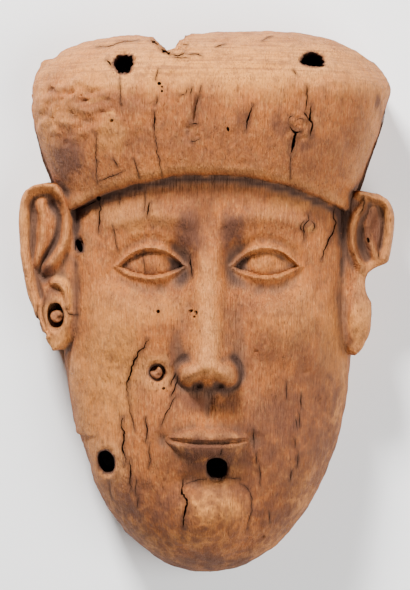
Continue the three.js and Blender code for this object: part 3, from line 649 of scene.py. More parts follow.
# Splits: half width, depth, path down the grain
SPLITS = [
    (1.7, 0.6, [(-4.1, 97.8), (-5.1, 93.9), (-5.8, 90.1), (-6.3, 86.3)]),
    (0.8, 2.0, [(-7.7, 84.8), (-5.5, 85.3), (-4.4, 84.7)]),
    (0.35, 1.5, [(-8.2, 76.4), (-5.8, 76.9), (-3.4, 78.0)]),
    (0.4, 2.5, [(-23.4, 111.7), (-23.9, 109.7), (-24.5, 107.7), (-24.8, 105.9)]),
    (0.45, 2, [(-24.0, 97.9), (-23.9, 95.9), (-24.8, 94.0)]),
    (0.7, 4, [(-25.3, 91.2), (-25.2, 87.8), (-25.5, 84.5), (-25.3, 81.2)]),
    (0.35, 2.5, [(-25.3, 81.2), (-24.7, 78.3), (-24.3, 74.5),
                 (-23.6, 70.7), (-22.6, 66.0), (-21.6, 60.4)]),
    (0.35, 2, [(-53.6, 81.3), (-53.6, 75.6), (-53.7, 68.5), (-53.5, 57.0)]),
    (0.35, 2, [(-53.2, 58.5), (-50.5, 59.1), (-47.0, 60.4), (-43.0, 61.5), (-40.1, 62.9)]),
    (0.6, 2, [(-45.4, 68.9), (-44.2, 67.2), (-43.1, 64.8)]),
    (0.35, 2, [(-35.7, 69.0), (-34.2, 65.6), (-33.3, 62.3), (-32.8, 59.7)]),
    (0.4, 2, [(-10.8, 99.2), (-12.7, 98.6)]),
    (0.4, 2, [(-9.7, 101.4), (-10.3, 99.2)]),
    (0.5, 2, [(-7.1, 102.6), (-8.1, 99.2)]),
    (0.4, 2, [(-2.7, 103.6), (-3.4, 101.1), (-3.9, 99.5)]),
    (0.5, 2.2, [(-54.1, 125.0), (-49.5, 124.8), (-46.1, 125.5),
                (-43.2, 127.0), (-39.8, 127.7), (-33.9, 128.1)]),
    (0.8, 3, [(-48.8, 117.1), (-47.4, 115.7), (-46.2, 113.5)]),
    (0.3, 1.2, [(-42.2, 108.5), (-41.9, 103.5), (-41.6, 98.2), (-41.3, 93.4)]),
    (0.9, 5, [(-27.5, 128.0), (-25.5, 126.6), (-23.2, 124.7)]),
    (1.0, 5, [(-22.4, 122.6), (-20.4, 121.1), (-17.9, 119.8)]),
    (0.7, 3.5, [(-17.0, 119.4), (-14.0, 118.7), (-11.9, 119.3), (-10.7, 120.7)]),
    (0.35, 2.5, [(-16.0, 118.0), (-12.6, 117.5), (-9.2, 117.7)]),
    (0.5, 2.5, [(-9.2, 119.3), (-5.8, 119.5), (-2.4, 118.6)]),
    (0.4, 2, [(-11.7, 125.1), (-9.2, 124.8)]),
    (0.5, 2.5, [(4.1, 123.3), (6.3, 124.3), (8.7, 125.1)]),
    (0.35, 1.5, [(26.8, 127.1), (29.9, 129.4), (32.4, 130.1)]),
    (0.5, 2, [(41.4, 111.4), (43.0, 109.2)]),
    (0.9, 4, [(22.0, 94.0), (20.8, 91.1), (19.7, 88.3), (19.1, 84.9), (18.6, 81.6)]),
    (0.7, 5, [(48.1, 104.1), (48.2, 100.7), (48.3, 97.8), (47.8, 94.9), (47.1, 92.0)]),
    (1.2, 4.5, [(50.3, 94.5), (49.8, 91.6), (49.5, 89.2), (49.2, 87.1),
                (50.4, 85.9), (50.6, 84.0), (50.1, 81.9), (49.8, 79.5)]),
    (1.9, 7, [(43.2, 81.7), (42.3, 79.6), (41.6, 77.6), (41.4, 74.8), (40.6, 71.4)]),
    (1.2, 4, [(39.7, 84.2), (40.8, 82.4), (42.8, 81.0), (45.0, 81.8)]),
    (0.7, 3, [(46.4, 91.1), (47.8, 89.4), (49.1, 87.3)]),
    (0.5, 2.5, [(43.0, 87.4), (44.7, 88.0), (46.6, 87.5)]),
    (0.6, 2.5, [(39.1, 86.8), (39.5, 88.5), (41.3, 89.4)]),
    (0.3, 1.8, [(40.4, 70.5), (40.1, 65.3), (40.1, 59.1)]),
    (1.1, 3.5, [(90.3, 95.0), (89.1, 92.5), (88.2, 89.2)]),
    (0.8, 3, [(-62.9, 45.7), (-58.7, 47.2), (-54.0, 49.4)]),
    (0.7, 3.5, [(-53.0, 49.1), (-52.4, 45.7), (-53.0, 42.7),
                (-52.8, 39.3), (-53.2, 36.4), (-53.1, 33.4)]),
    (0.4, 2, [(-46.1, 37.2), (-45.4, 33.8), (-44.6, 29.9), (-43.4, 24.5)]),
    (0.3, 1.5, [(-42.4, 51.8), (-42.7, 46.4)]),
    (0.3, 1.5, [(-30.0, 54.0), (-30.0, 48.2), (-30.6, 43.3)]),
    (1.0, 3, [(-28.0, 48.2), (-28.5, 44.7), (-28.9, 41.1)]),
    (0.35, 1.5, [(-30.8, 24.9), (-31.1, 21.0), (-30.3, 17.6), (-30.0, 13.7)]),
    (0.8, 3.5, [(-8.3, 22.5), (-8.1, 19.1), (-7.5, 15.2), (-7.4, 11.8)]),
    (0.6, 3, [(49.6, 42.9), (49.8, 39.7), (47.7, 37.7), (46.9, 35.7), (47.3, 33.3), (47.6, 29.4)]),
    (0.6, 2.5, [(47.2, 39.0), (45.6, 37.4), (45.5, 35.2), (47.2, 33.6)]),
    (0.5, 2.0, [(50.6, 39.4), (52.4, 37.9), (52.8, 36.0), (51.4, 34.4)]),
    (0.9, 3.5, [(63.1, 46.3), (62.2, 41.6), (63.6, 38.2), (62.7, 35.1),
                (60.6, 31.4), (59.0, 27.6), (57.7, 24.2), (56.4, 20.2)]),
    (0.6, 2, [(77.2, 51.3), (77.9, 48.6), (77.2, 45.6), (75.6, 43.1)]),
    (0.5, 1.5, [(85.1, 25.8), (85.6, 21.4)]),
    (0.45, 2, [(-70.0, -3.4), (-68.3, -6.4), (-65.8, -7.1), (-63.1, -6.8)]),
    (0.5, 2, [(-84.1, -2.4), (-84.2, -5.9), (-84.0, -9.8), (-82.4, -12.8)]),
    (0.35, 1.2, [(-80.4, 1.1), (-81.5, -3.4), (-81.1, -8.3), (-79.6, -12.3)]),
    (0.3, 1, [(-77.4, 49.5), (-75.4, 50.3), (-73.2, 48.6), (-72.2, 46.1)]),
    (1.0, 5, [(-28.8, -18.2), (-30.3, -21.6), (-33.0, -24.8), (-34.5, -27.3), (-35.3, -30.2),
              (-37.0, -33.4), (-38.0, -36.6), (-38.7, -39.8), (-38.7, -42.7), (-38.1, -46.1)]),
    (0.45, 2.5, [(-38.1, -48.1), (-37.6, -51.5), (-36.9, -54.9), (-35.9, -58.3), (-34.8, -63.1)]),
    (1.1, 4, [(-41.2, -56.5), (-41.9, -60.4), (-40.9, -63.8), (-40.5, -66.7),
              (-41.2, -70.2), (-40.7, -73.6), (-39.4, -76.5), (-39.8, -78.9)]),
    (0.7, 3, [(-30.1, -56.2), (-29.8, -59.5), (-29.0, -62.4), (-29.1, -65.4), (-29.6, -68.3)]),
    (0.4, 2, [(-27.8, -68.7), (-28.2, -73.1), (-27.4, -77.1), (-28.5, -81.0)]),
    (0.8, 3, [(-37.6, -76.9), (-37.3, -81.3), (-37.4, -85.3), (-37.6, -89.3), (-37.0, -92.3)]),
    (0.35, 1.8, [(-34.3, -87.1), (-35.0, -91.2), (-34.6, -94.7)]),
    (0.35, 1.8, [(-33.6, -95.6), (-34.1, -101.2)]),
    (0.7, 2.8, [(-14.8, -34.9), (-17.0, -38.1), (-17.9, -40.8)]),
    (0.8, 3, [(-13.8, -35.5), (-14.8, -39.6), (-15.5, -42.2), (-17.5, -46.3)]),
    (0.6, 3, [(-14.8, -45.8), (-17.0, -48.9), (-18.9, -53.0), (-20.8, -56.9), (-22.4, -60.3)]),
    (0.35, 1.5, [(-6.3, -39.6), (-7.0, -43.6)]),
    (0.3, 1.5, [(-48.3, -88.6), (-48.0, -94.3), (-46.8, -98.4)]),
    (0.5, 2, [(7.3, -70.7), (6.2, -74.4)]),
    (1.3, 5, [(-11.2, -86.2), (-12.1, -90.1), (-12.0, -92.9), (-10.9, -95.3), (-9.6, -97.1),
              (-9.4, -99.0), (-10.4, -101.7), (-11.2, -104.4), (-10.9, -110.0)]),
    (0.3, 1.5, [(-11.2, -89.1), (-8.3, -87.7), (-4.4, -86.8), (-0.5, -86.4)]),
    (0.3, 1.5, [(9.7, -85.2), (12.6, -85.8), (16.0, -86.0)]),
    (0.35, 1.8, [(16.0, -88.7), (18.9, -89.8), (20.9, -92.1),
                 (21.6, -96.6), (21.7, -100.5), (20.9, -105.5), (19.7, -111.0)]),
    (0.4, 2, [(22.5, -61.3), (22.7, -66.7), (22.7, -72.0)]),
    (0.35, 2, [(23.7, -73.0), (24.1, -78.4)]),
    (0.4, 2, [(25.2, -79.4), (25.7, -84.9), (25.8, -89.8)]),
    (0.6, 2.5, [(46.1, -45.3), (45.7, -48.8), (46.0, -52.5)]),
    (0.4, 2, [(43.4, -57.5), (43.9, -62.4)]),
    (0.35, 1.8, [(45.1, -54.6), (45.2, -61.5)]),
    (0.35, 1.5, [(42.9, -67.2), (43.1, -71.7)]),
    (0.35, 1.5, [(44.5, -73.7), (44.0, -81.6)]),
    (0.5, 2, [(41.3, -82.5), (40.6, -87.9)]),
    (0.35, 1.5, [(30.3, -102.5), (31.0, -108.7)]),
    (0.35, 1.5, [(38.4, -38.8), (38.7, -47.6)]),
]
# Small pits and insect holes: x, y, radius x, radius y, depth
PITS = [
    (-22.9, 104.4, 1.0, 0.9, 3), (-21.6, 102.8, 0.5, 0.5, 2), (-21.6, 100.7, 0.6, 0.7, 2.5),
    (-23.7, 125.3, 1.0, 0.8, 5), (-26.2, 127.1, 0.9, 0.6, 5), (-20.6, 121.2, 1.4, 0.8, 5),
    (-18.6, 119.8, 0.7, 0.6, 4), (10.0, 82.5, 0.7, 1.2, 3), (-53.2, 50.4, 1.2, 1.1, 4.5),
    (-23.7, -4.9, 0.9, 0.9, 3), (-7.9, -4.6, 1.3, 0.8, 1.4), (-5.4, -5.4, 0.9, 1.1, 1.4),
    (-6.2, -7.4, 0.7, 0.6, 1.0), (-21.1, -42.2, 0.9, 0.7, 1.2), (80.1, 30.3, 0.7, 1.4, 2.5),
    (28.0, -115.9, 0.8, 0.9, 1.0), (-46.0, 87.0, 0.9, 0.7, 1.0),
]


def height_at(surface, x, y, ground):
    """The height of the surface at a place, or the ground's where there is none."""
    start = Vector((x + ORIGIN_SHIFT[0], y + ORIGIN_SHIFT[1], SKY)) * MM
    hit = surface.ray_cast(start, Vector((0, 0, -1)))[0]
    return hit.z / MM if hit else ground


def pit_cutter(surface, x, y, rx, ry, deep, seed):
    floor_z = height_at(surface, x, y, EDGE_Z) - deep
    return hole_cutter(x, y, rx, ry, 0.3, 0.1, 2, floor_z, seed, sides=14)


SPLIT_STEP = 0.8


def split_cutter(surface, half_width, depth, path, seed):
    """A wedge that wanders along its path, widest in the middle and closed at both ends."""
    ends = np.array(path)
    legs = np.diff(ends, axis=0)
    walked = np.concatenate([[0], np.cumsum(np.hypot(*legs.T))])
    length = walked[-1]

    def place(column, row, depth_share):
        share = (row + 1) / 2
        x = np.interp(share * length, walked, ends[:, 0])
        y = np.interp(share * length, walked, ends[:, 1])
        leg = np.clip(np.searchsorted(walked, share * length) - 1, 0, len(legs) - 1)
        across = np.stack([legs[leg, 1], -legs[leg, 0]], axis=1)
        across /= np.hypot(*across.T)[:, None]
        line = np.stack([share * length, share * 0, share * 0 + seed], axis=1)
        wander = min(0.9, length / 30) * grain(line, 3.2, 1, 1, 1)
        wander += min(0.6, length / 40) * grain(line, 1.1, 1, 1, 2)
        wide = 1 + 0.9 * grain(line, 2.6, 1, 1, 3)
        opened = np.sin(math.pi * share) ** 0.6
        half = (0.06 + half_width * 0.46 * opened * wide) * np.where(depth_share > 0.5, 0.3, 1)
        x += across[:, 0] * (wander + half * column)
        y += across[:, 1] * (wander + half * column)
        tops = np.array([height_at(surface, px, py, 20.0) for px, py in zip(x, y)])
        low = tops - 0.4 - depth * (0.35 + 0.65 * opened)
        return x, y, np.where(depth_share > 0.5, low, tops + 1.2)

    stations = grid_lines((0, 1, max(6, int(length / SPLIT_STEP))))
    return carve_blank("split_cutter", np.array([-1.0, 1.0]), stations, 1, place)


surface = BVHTree.FromObject(mask, bpy.context.evaluated_depsgraph_get())
splits = split_cutter(surface, *SPLITS[0], 0)
for number, split in enumerate(SPLITS[1:], 1):
    work(splits, split_cutter(surface, *split, number), "UNION")
for number, pit in enumerate(PITS):
    work(splits, pit_cutter(surface, *pit, number), "UNION")
work(mask, splits, "DIFFERENCE")

# Slivers that the cuts leave are dissolved, and crumbs that hang on nothing are cleared.
SLIVER = 0.002
edit_all(mask)
bpy.ops.mesh.quads_convert_to_tris()
bpy.ops.mesh.dissolve_degenerate(threshold=SLIVER * MM)
bpy.ops.mesh.quads_convert_to_tris()
bpy.ops.mesh.separate(type="LOOSE")
bpy.ops.object.mode_set(mode="OBJECT")
pieces = sorted(bpy.context.selected_objects, key=lambda piece: len(piece.data.vertices))
mask = pieces.pop()
mask.name = "mask_wood"
for crumb in pieces:
    bpy.data.objects.remove(crumb, do_unlink=True)

# The age and colour of the wood
# Bare tan wood, handled bright on the ridges and partly lit by painted light over the cap, with
# brown stain and painted shade in the hollows, brown stain on the cheek at the right and along the
# jaw, a mottled chin, and painted shade darkening the walls inside holes and splits.

# Brown stains, with painted shade under the nose, the lower lip, the chin and the cap's band and
# in the ear hollows: x, y, radius x, radius y, strength
STAINS_AND_SHADE = [
    (-9, 32, 8, 16, 1.0), (12, 32, 8, 16, 1.0), (-17, -24, 6, 10, 0.8), (17, -30, 5, 7, 0.6),
    (0, -47, 19, 7, 0.9), (0, 52, 60, 5, 0.45), (-30, 0, 20, 6, 0.3), (30, -2, 20, 6, 0.35),
    (-69.1, 69.2, 10.8, 11.8, 0.9), (-55.9, 64.7, 5.9, 6.9, 0.45), (18.1, 88.3, 5.9, 6.9, 0.65),
    (36.0, 85.1, 6.4, 6.9, 0.8), (48.7, 76.9, 6.9, 4.4, 0.6), (84.4, 95.4, 2.5, 4.4, 0.9),
    (72.5, 79.0, 10.8, 12.7, 0.35), (-49.1, 95.5, 23.5, 5.9, 0.35), (-32.2, 76.0, 6.4, 6.4, 0.5),
    (-60.7, 30.2, 5.9, 7.3, 0.5), (55.4, 42.8, 6.9, 6.4, 0.6), (64.8, 32.3, 6.9, 5.9, 0.6),
    (68.6, 17.5, 2.9, 2.5, 0.9), (45.4, -42.4, 11.8, 14.7, 0.55), (60.7, -42.8, 4.9, 12.7, 0.65),
    (29.5, -23.6, 7.8, 8.8, 0.5), (56.8, -73.6, 9.8, 20.6, 0.6), (-1.0, -74.4, 21.6, 11.8, 1.0),
    (18, -70, 22, 13, 0.85), (36, -56, 20, 16, 0.7), (50, -34, 16, 22, 0.5), (14, -88, 16, 8, 0.6),
    (-16, -64, 13, 9, 0.55), (0, 76, 60, 11, 0.35), (-8, 46, 50, 12, 0.45), (30, 66, 40, 8, 0.3),
    (40.5, -82.4, 12.7, 14.7, 0.5), (-27.8, -97.8, 16.7, 9.8, 0.6), (3.9, -129.8, 32.3, 6.3, 0.75),
    (35.9, -107.6, 11.8, 9.8, 0.6), (-74.3, -33.8, 2.9, 11.8, 0.7), (-65.9, -54.4, 3.9, 6.9, 0.3),
    (-87.1, 36.2, 2.2, 13.7, 0.7), (-80.1, 14.4, 3.9, 5.4, 0.95), (-77.7, 2.6, 4.4, 4.9, 0.75),
    (-64.8, -4.4, 2.5, 16.7, 0.4), (81.6, 37.7, 6.9, 13.7, 0.85), (78.1, 24.3, 4.4, 5.9, 0.9),
    (76.2, 0.6, 2.9, 6.9, 0.65), (71.6, -18.0, 2.5, 5.9, 0.7), (59.8, 68.7, 14.7, 9.8, 0.25),
    (-3.4, 89.2, 6.9, 7.8, 0.25), (25.4, 72.7, 4.9, 7.8, 0.3),
]
# Handled and rubbed places, partly painted highlights at broken rims on the cap and painted light
# over its top: x, y, radius x, radius y, strength
RUBBED_AND_HIGHLIT = [
    (0, -8, 8, 28, 0.35), (45, -8, 20, 16, 0.25), (6.2, 115.2, 88.2, 14.7, 1.0),
    (67.1, 109.5, 17.6, 12.7, 0.45), (-46.8, 78.7, 7.8, 5.9, 0.5),
    (-71.7, 92.3, 7.8, 6.9, 0.35), (-47.4, -29.7, 15.7, 38.2, 0.6), (-27.6, -3.2, 16.7, 7.8, 0.4),
    (-92.0, 42.6, 2.9, 18.6, 0.7), (-74.7, -20.2, 7.8, 4.9, 0.8), (-71.7, 6.0, 3.4, 3.9, 1.0),
    (-69.3, 1.1, 2.0, 3.9, 0.9), (5.3, -98.9, 14.7, 9.8, 0.85), (89.5, 42.6, 2.9, 12.7, 0.6),
    (76.2, -11.8, 3.9, 9.8, 0.55), (-36.4, 42.4, 21.6, 5.9, 0.45), (40.4, 47.3, 19.6, 4.4, 0.35),
    (70.2, -65.2, 3.9, 24.5, 0.45), (51.2, 112.8, 6.9, 1.5, 0.9), (-47.9, 113.9, 2.9, 2.0, 0.9),
    (-53.6, 98.1, 4.4, 1.5, 0.7), (-47.2, 86.3, 1.5, 1.2, 1.0), (49.8, 35.8, 2.2, 1.6, 1.0),
    (20.5, 101.2, 34.3, 4.9, 0.35), (-29.9, 113.9, 6.9, 6.9, 0.5), (30, 20, 16, 10, 0.2),
    (62, -20, 8, 20, 0.35), (46, -92, 8, 10, 0.3), (-10, -116, 22, 5, 0.35),
]
MAP_STEP = 0.8  # between the points where the surface's height is read
NEAR, WIDE = 2, 6  # how many points the soft copies of the heights are blurred over
OPEN_Z = 14  # peg holes count as no deeper than this, so that they don't darken their rims


def keep_on_vertices(piece, name, values):
    """Keeps values from 0 to 1 on the piece's vertices for its material to read."""
    layer = piece.data.attributes.new(name, "FLOAT", "POINT")
    layer.data.foreach_set("value", np.clip(values, 0, 1).astype(np.float32))


def patches(at, places, softness, seed):
    """Soft-edged uneven patches, the strongest of them at each vertex."""
    x = at[:, 0] + softness * grain(at, 11, 16, 14, seed)
    y = at[:, 1] + softness * 1.4 * grain(at, 9, 18, 12, seed + 1)
    total = np.zeros(len(at))
    for cx, cy, rx, ry, strength in places:
        away = np.hypot((x - cx) / rx, (y - cy) / ry)
        total = np.maximum(total, strength * smooth(1.35, 0.45, away))
    return total


def height_map(surface, step):
    """Heights seen from above on an even grid, with what is open filled by the ground."""
    xs, ys = np.arange(-98, 98, step), np.arange(-140, 140, step)
    return xs, ys, np.array([[height_at(surface, x, y, 0.0) for x in xs] for y in ys])


def blurred(heights, reach):
    """Three box blurs one after another come close to an even soft blur."""
    kernel = np.ones(2 * reach + 1) / (2 * reach + 1)
    for _ in range(3):
        for axis in (0, 1):
            heights = np.apply_along_axis(
                lambda line: np.convolve(np.pad(line, reach, "edge"), kernel, "valid"),
                axis, heights,
            )
    return heights


def sampled(xs, ys, heights, x, y):
    """The heights of an even grid read between its points."""
    u = np.clip((x - xs[0]) / (xs[1] - xs[0]), 0, len(xs) - 1.001)
    v = np.clip((y - ys[0]) / (ys[1] - ys[0]), 0, len(ys) - 1.001)
    i, j = u.astype(int), v.astype(int)
    fu, fv = u - i, v - j
    low = heights[j, i] * (1 - fu) + heights[j, i + 1] * fu
    high = heights[j + 1, i] * (1 - fu) + heights[j + 1, i + 1] * fu
    return low * (1 - fv) + high * fv


at = vertex_places(mask)
x, y, z = at.T
xs, ys, heights = height_map(surface, MAP_STEP)
even = blurred(np.maximum(heights, OPEN_Z), 1)
fine_hollow = sampled(xs, ys, blurred(even, NEAR) - even, x, y)
wide_hollow = sampled(xs, ys, blurred(even, WIDE) - even, x, y)
# How deep each vertex lies below the carved surface; this depth drives the painted shade inside
# splits and holes.
painted_shade_depth = np.array([
    surface.find_nearest(Vector(point))[3] / MM
    for point in (at + ORIGIN_SHIFT) * MM
])
beside = np.full(len(at), 99.0)
for half_width, depth, path in SPLITS:
    beside = np.minimum(beside, path_distance(x, y, path) - half_width)
in_hole = np.zeros(len(at), dtype=bool)
for hole in HOLES:
    away = from_hole(hole, x, y)
    beside = np.minimum(beside, (away - 1) * 4)
    in_hole |= away < 1.45
# Painted shade: the walls of splits darken quickly with depth, those of the peg holes gradually,
# as shade would fall in them.
in_split = smooth(0.25, 1.6, painted_shade_depth)
keep_on_vertices(mask, "painted_shade_depth", np.where(in_hole, 0.9 * smooth(0.5, 26, painted_shade_depth), in_split))
keep_on_vertices(mask, "beside_split", smooth(1.0, 0.0, beside) * (painted_shade_depth < 0.3))
# Brown stains, and painted shade under the nose, lip, chin and band and in the ear hollows.
keep_on_vertices(mask, "stain_and_painted_shade", patches(at, STAINS_AND_SHADE, 3.5, 21))
# Rubbed wear, with painted highlights at broken rims and painted light over the top of the cap.
keep_on_vertices(mask, "rubbed_and_painted_highlight", patches(at, RUBBED_AND_HIGHLIT, 5, 31))
faces_up = smooth(0.05, 0.4, vertex_normals(mask)[:, 2])  # none of it on the plain flanks
# Dirt and painted shade: darker where the surface lies below its blurred neighbours, in narrow and
# in wide hollows, only on faces turned up.
dirt_and_painted_shade = 0.7 * smooth(0.03, 0.8, fine_hollow) + 0.6 * smooth(0.3, 4.5, wide_hollow)
by_ears = bell((np.abs(x - FACE_X) - 67) / 3) * smooth(20, 5, y)
keep_on_vertices(mask, "dirt_and_painted_shade", dirt_and_painted_shade * faces_up * (1 - 0.6 * by_ears))
ridge = 0.6 * smooth(0.05, 0.9, -fine_hollow) + 0.5 * smooth(0.3, 3.5, -wide_hollow)
keep_on_vertices(mask, "ridge", ridge)
chin, jaw_at_right = smooth(-66, -100, y), smooth(10, 50, x) * smooth(-20, -60, y)
keep_on_vertices(mask, "mottle", np.maximum(chin, jaw_at_right))
keep_on_vertices(mask, "sawn", smooth(103, 112, y))
rings = 0
for knot_x, knot_y, radius in KNOTS:
    away = from_knot(knot_x, knot_y, x, y) + 0.5 * grain(at, 2.5, 2.5, 4, 9)
    rings += (0.5 + 0.5 * np.sin(away * 3.6)) ** 3 * bell(away / radius / 0.9)
keep_on_vertices(mask, "knot_rings", rings)


def linear(code):
    """Linear colour from an sRGB hex code."""
    parts = [int(code[i:i + 2], 16) / 255 for i in (1, 3, 5)]
    return [p / 12.92 if p <= 0.04045 else ((p + 0.055) / 1.055) ** 2.4 for p in parts] + [1]


def add_node(tree, kind, settings, inputs):
    """Adds a shader node with its settings, its values and its links."""
    new = tree.nodes.new("ShaderNode" + kind)
    for name, value in settings.items():
        setattr(new, name, value)
    for name, value in inputs.items():
        if isinstance(value, bpy.types.NodeSocket):
            tree.links.new(value, new.inputs[name])
        else:
            new.inputs[name].default_value = value
    return new


def pattern(tree, place, size, detail, low, high):
    """Noise with lumps of the given size in millimetres, stretched from 0 to 1 between limits."""
    scaled = add_node(tree, "VectorMath", {"operation": "MULTIPLY"}, {
        0: place, 1: [1 / (side * MM) for side in size],
    })
    lumps = add_node(tree, "TexNoise", {}, {
        "Vector": scaled.outputs[0], "Scale": 1.0, "Detail": detail, "Roughness": 0.55,
    })
    limits = add_node(tree, "MapRange", {"clamp": True}, {
        "Value": lumps.outputs["Fac"], "From Min": low, "From Max": high,
    })
    return limits.outputs[0]


def times(tree, a, b):
    return add_node(tree, "Math", {"operation": "MULTIPLY"}, {0: a, 1: b}).outputs[0]


def toned(tree, ground, coats):
    """The ground colour under coats of (colour, strength, whatever limits the coat)."""
    below = linear(ground)
    for code, amount, *limits in coats:
        for limit in limits:
            amount = times(tree, limit, amount)
        mixed = add_node(tree, "Mix", {"data_type": "RGBA"}, {
            0: amount, 6: below, 7: linear(code),
        })
        below = mixed.outputs[2]
    return below


def reading(tree, name):
    return add_node(tree, "Attribute", {"attribute_name": name}, {}).outputs["Fac"]


# Bare weathered hardwood: soft brown stain over tan, with painted shade in hollows, splits and
# holes and painted highlights on the cap, fine upright grain, matt. Each pattern has the size of
# its lumps in millimetres across, along and into the block.
aged_wood = bpy.data.materials.new("weathered_carved_wood")
aged_wood.use_nodes = True
tree = aged_wood.node_tree
shader = tree.nodes["Principled BSDF"]
place = add_node(tree, "TexCoord", {}, {}).outputs["Object"]
tone = pattern(tree, place, (22, 60, 30), 3, 0.35, 0.66)
streak = pattern(tree, place, (1.6, 34, 6), 2, 0.45, 0.72)
fibre = pattern(tree, place, (0.5, 9, 1.2), 3, 0.38, 0.68)
pore = pattern(tree, place, (0.45, 4.2, 0.6), 1, 0.62, 0.72)
saw = pattern(tree, place, (24, 1.1, 30), 2, 0.45, 0.7)
blotch = pattern(tree, place, (5.5, 5.0, 6), 2, 0.47, 0.6)
cloud = pattern(tree, place, (8, 13, 12), 4, 0.26, 0.5)
smudge = pattern(tree, place, (12, 8, 12), 5, 0.46, 0.66)
groove = pattern(tree, place, (1.1, 11, 2.4), 3, 0.34, 0.66)
speckle = pattern(tree, place, (0.9, 1.5, 1.1), 4, 0.45, 0.75)
dirt = pattern(tree, place, (3.2, 4.2, 4), 5, 0.5, 0.7)
fleck = pattern(tree, place, (1.3, 3.0, 1.6), 3, 0.5, 0.72)
lump = pattern(tree, place, (2.4, 3.2, 2.8), 3, 0.3, 0.7)
bend = add_node(tree, "TexNoise", {}, {"Vector": place, "Scale": 260.0, "Detail": 2.0})
bent = add_node(tree, "VectorMath", {"operation": "MULTIPLY_ADD"}, {
    0: bend.outputs["Color"], 1: (0.003, 0.003, 0.003), 2: place,
})
cells = add_node(tree, "TexVoronoi", {}, {"Vector": bent.outputs[0], "Scale": 190.0})
spots = add_node(tree, "MapRange", {}, {
    "Value": cells.outputs["Distance"], "From Min": 0.62, "From Max": 0.34,
}).outputs[0]
sparse = pattern(tree, place, (9, 16, 12), 2, 0.4, 0.6)
mottle, dirt_and_painted_shade = reading(tree, "mottle"), reading(tree, "dirt_and_painted_shade")
colour = toned(tree, "#aa5d21", [
    ("#82441b", 1, tone),
    ("#784425", 0.55, smudge),
    ("#7c4420", 0.6, streak),
    ("#cb7c3e", 0.35, fibre),
    # Rubbed wear with painted highlights and painted top light, in a light tan.
    ("#de9140", 0.75, reading(tree, "rubbed_and_painted_highlight")),
    ("#cf8c4e", 0.45, reading(tree, "ridge")),
    ("#dd9c58", 0.28, fleck),
    ("#724226", 0.42, speckle),
    ("#6a3f26", 0.5, dirt),
    ("#6a3d24", 0.5, mottle, blotch),
    ("#663821", 0.6, mottle, spots),
    # Brown stain and painted shade, in a dull dark brown broken up by cloud.
    ("#5a3524", 0.95, reading(tree, "stain_and_painted_shade"), cloud),
    # Dirt and painted shade in the hollows: first a greyer brown, then a dark brown.
    ("#8a6248", 0.9, dirt_and_painted_shade),
    ("#452c20", 1, dirt_and_painted_shade),
    ("#7a4626", 0.6, reading(tree, "sawn"), saw),
    ("#4c2a16", 0.75, pore, sparse),
    ("#5a3420", 0.7, reading(tree, "knot_rings")),
    ("#4c2c1a", 0.6, reading(tree, "beside_split")),
    # Painted shade: near black down the walls of splits and holes.
    ("#26160c", 1, reading(tree, "painted_shade_depth")),
])
tree.links.new(colour, shader.inputs["Base Color"])
worn = add_node(tree, "MapRange", {}, {
    "Value": fibre, "From Min": 0.0, "From Max": 1.0, "To Min": 0.86, "To Max": 0.7,
})
tree.links.new(worn.outputs[0], shader.inputs["Roughness"])
shader.inputs["Specular IOR Level"].default_value = 0.3
deep = add_node(tree, "Math", {"operation": "SUBTRACT"}, {0: fibre, 1: pore})
rough = add_node(tree, "Math", {"operation": "ADD"}, {0: deep.outputs[0], 1: groove})
uneven = add_node(tree, "Math", {"operation": "ADD"}, {0: rough.outputs[0], 1: lump})
bump = add_node(tree, "Bump", {}, {
    "Strength": 0.8, "Distance": 0.00035, "Height": uneven.outputs[0],
})
tree.links.new(bump.outputs[0], shader.inputs["Normal"])
mask.data.materials.clear()
mask.data.materials.append(aged_wood)
bpy.ops.object.select_all(action="DESELECT")
mask.select_set(True)
bpy.context.view_layer.objects.active = mask
bpy.ops.object.shade_smooth_by_angle(angle=math.radians(40))
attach(mask, "root")
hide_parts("mask")

# The two dowels left in place
# Whittled pegs of a harder wood that close an old hole in the ear lobe and one in the cheek.
# Their end grain has weathered darker, a little domed and chipped, below the carved surface.

EAR_CHIP, CHEEK_CHIP = 0.9, 6.5  # how deep a chip the end of the dowel has lost
DOWEL_RINGS = 7

# End grain: darker wood with fine open pores, dull and dry.
end_grain = bpy.data.materials.new("dowel_end_grain")
end_grain.use_nodes = True
tree = end_grain.node_tree
shader = tree.nodes["Principled BSDF"]
place = add_node(tree, "TexCoord", {}, {}).outputs["Object"]
dry = pattern(tree, place, (2.2, 2.2, 30), 3, 0.4, 0.62)
pores = pattern(tree, place, (0.4, 0.4, 6), 1, 0.56, 0.64)
colour = toned(tree, "#9a6038", [("#74462a", 1, dry), ("#452412", 0.6, pores)])
tree.links.new(colour, shader.inputs["Base Color"])
shader.inputs["Roughness"].default_value = 0.85
shader.inputs["Specular IOR Level"].default_value = 0.25


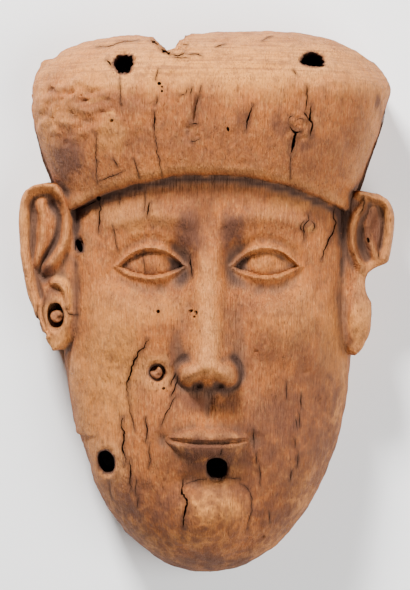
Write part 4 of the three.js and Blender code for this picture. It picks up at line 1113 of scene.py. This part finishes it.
def make_dowel(name, node, x, y, radius, top, chip):
    """A peg whose top is domed, dented on one side and chipped away on the other."""
    bpy.ops.object.select_all(action="DESELECT")
    bpy.ops.mesh.primitive_cylinder_add(vertices=48, radius=radius, depth=top)
    peg = bpy.context.object
    peg.name = name
    bpy.ops.object.mode_set(mode="EDIT")
    bpy.ops.mesh.select_all(action="DESELECT")
    bpy.ops.object.mode_set(mode="OBJECT")
    for face in peg.data.polygons:
        face.select = face.normal.z > 0.9
    bpy.ops.object.mode_set(mode="EDIT")
    for _ in range(DOWEL_RINGS):
        bpy.ops.mesh.inset(thickness=radius / (DOWEL_RINGS + 1.2))
    bpy.ops.object.mode_set(mode="OBJECT")
    at = read_vertices(peg) + np.array([x, y, top / 2])
    away = np.hypot(at[:, 0] - x, at[:, 1] - y) / radius
    ends = at[:, 2] > top - 0.01
    across, along = at[:, 0], at[:, 1]
    dome = -0.9 * away**4 + 0.35 * grain(at, 1.4, 1.4, 2, 41)
    dome -= 0.8 * swell(
        across, along, x + radius * 0.5, y - radius * 0.4, radius * 0.7, radius * 0.5
    )
    dome -= chip * swell(
        across, along, x - radius * 0.6, y + radius * 0.8, radius * 1.2, radius
    )
    at[:, 2] += np.where(ends, dome, 0)
    move_vertices(peg, at)
    for face in peg.data.polygons:
        face.use_smooth = face.normal.z > 0.3
    peg.data.materials.append(end_grain)
    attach(peg, "root")
    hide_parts(node)


make_dowel("ear_dowel_wood", "ear_dowel", *EAR_DOWEL, EAR_CHIP)
make_dowel("cheek_dowel_wood", "cheek_dowel", *CHEEK_DOWEL, CHEEK_CHIP)

# The studio
# The mask lies on plain white paper. The camera looks straight down on it, a small soft lamp
# stands beyond the cap, a broad one fills in from the chin, and the room gives some light.

bpy.ops.object.select_all(action="DESELECT")
bpy.ops.mesh.primitive_plane_add(size=6, location=(0, 0, -0.0006))
floor = bpy.context.object
floor.name = "floor"
paper = bpy.data.materials.new("white_studio_paper")
paper.use_nodes = True
shader = paper.node_tree.nodes["Principled BSDF"]
shader.inputs["Base Color"].default_value = linear("#fcfbfa")
shader.inputs["Roughness"].default_value = 0.9
floor.data.materials.append(paper)

bpy.ops.object.camera_add(location=(-0.00075, 0.00325, 1.26), rotation=(0, 0, 0))
camera = bpy.context.object
camera.data.lens = 150
bpy.context.scene.camera = camera


def soft_light(name, place, size, power):
    bpy.ops.object.light_add(type="AREA", location=place)
    lamp = bpy.context.object
    lamp.name = name
    lamp.data.size = size
    lamp.data.energy = power
    lamp.rotation_euler = (-Vector(place)).to_track_quat("-Z", "Y").to_euler()


soft_light("key", (-0.4, 1.05, 0.8), 0.3, 55)
soft_light("fill", (0.7, -0.3, 1.1), 1.0, 27)
world = bpy.data.worlds.new("studio")
bpy.context.scene.world = world
world.use_nodes = True
world.node_tree.nodes["Background"].inputs["Strength"].default_value = 0.75
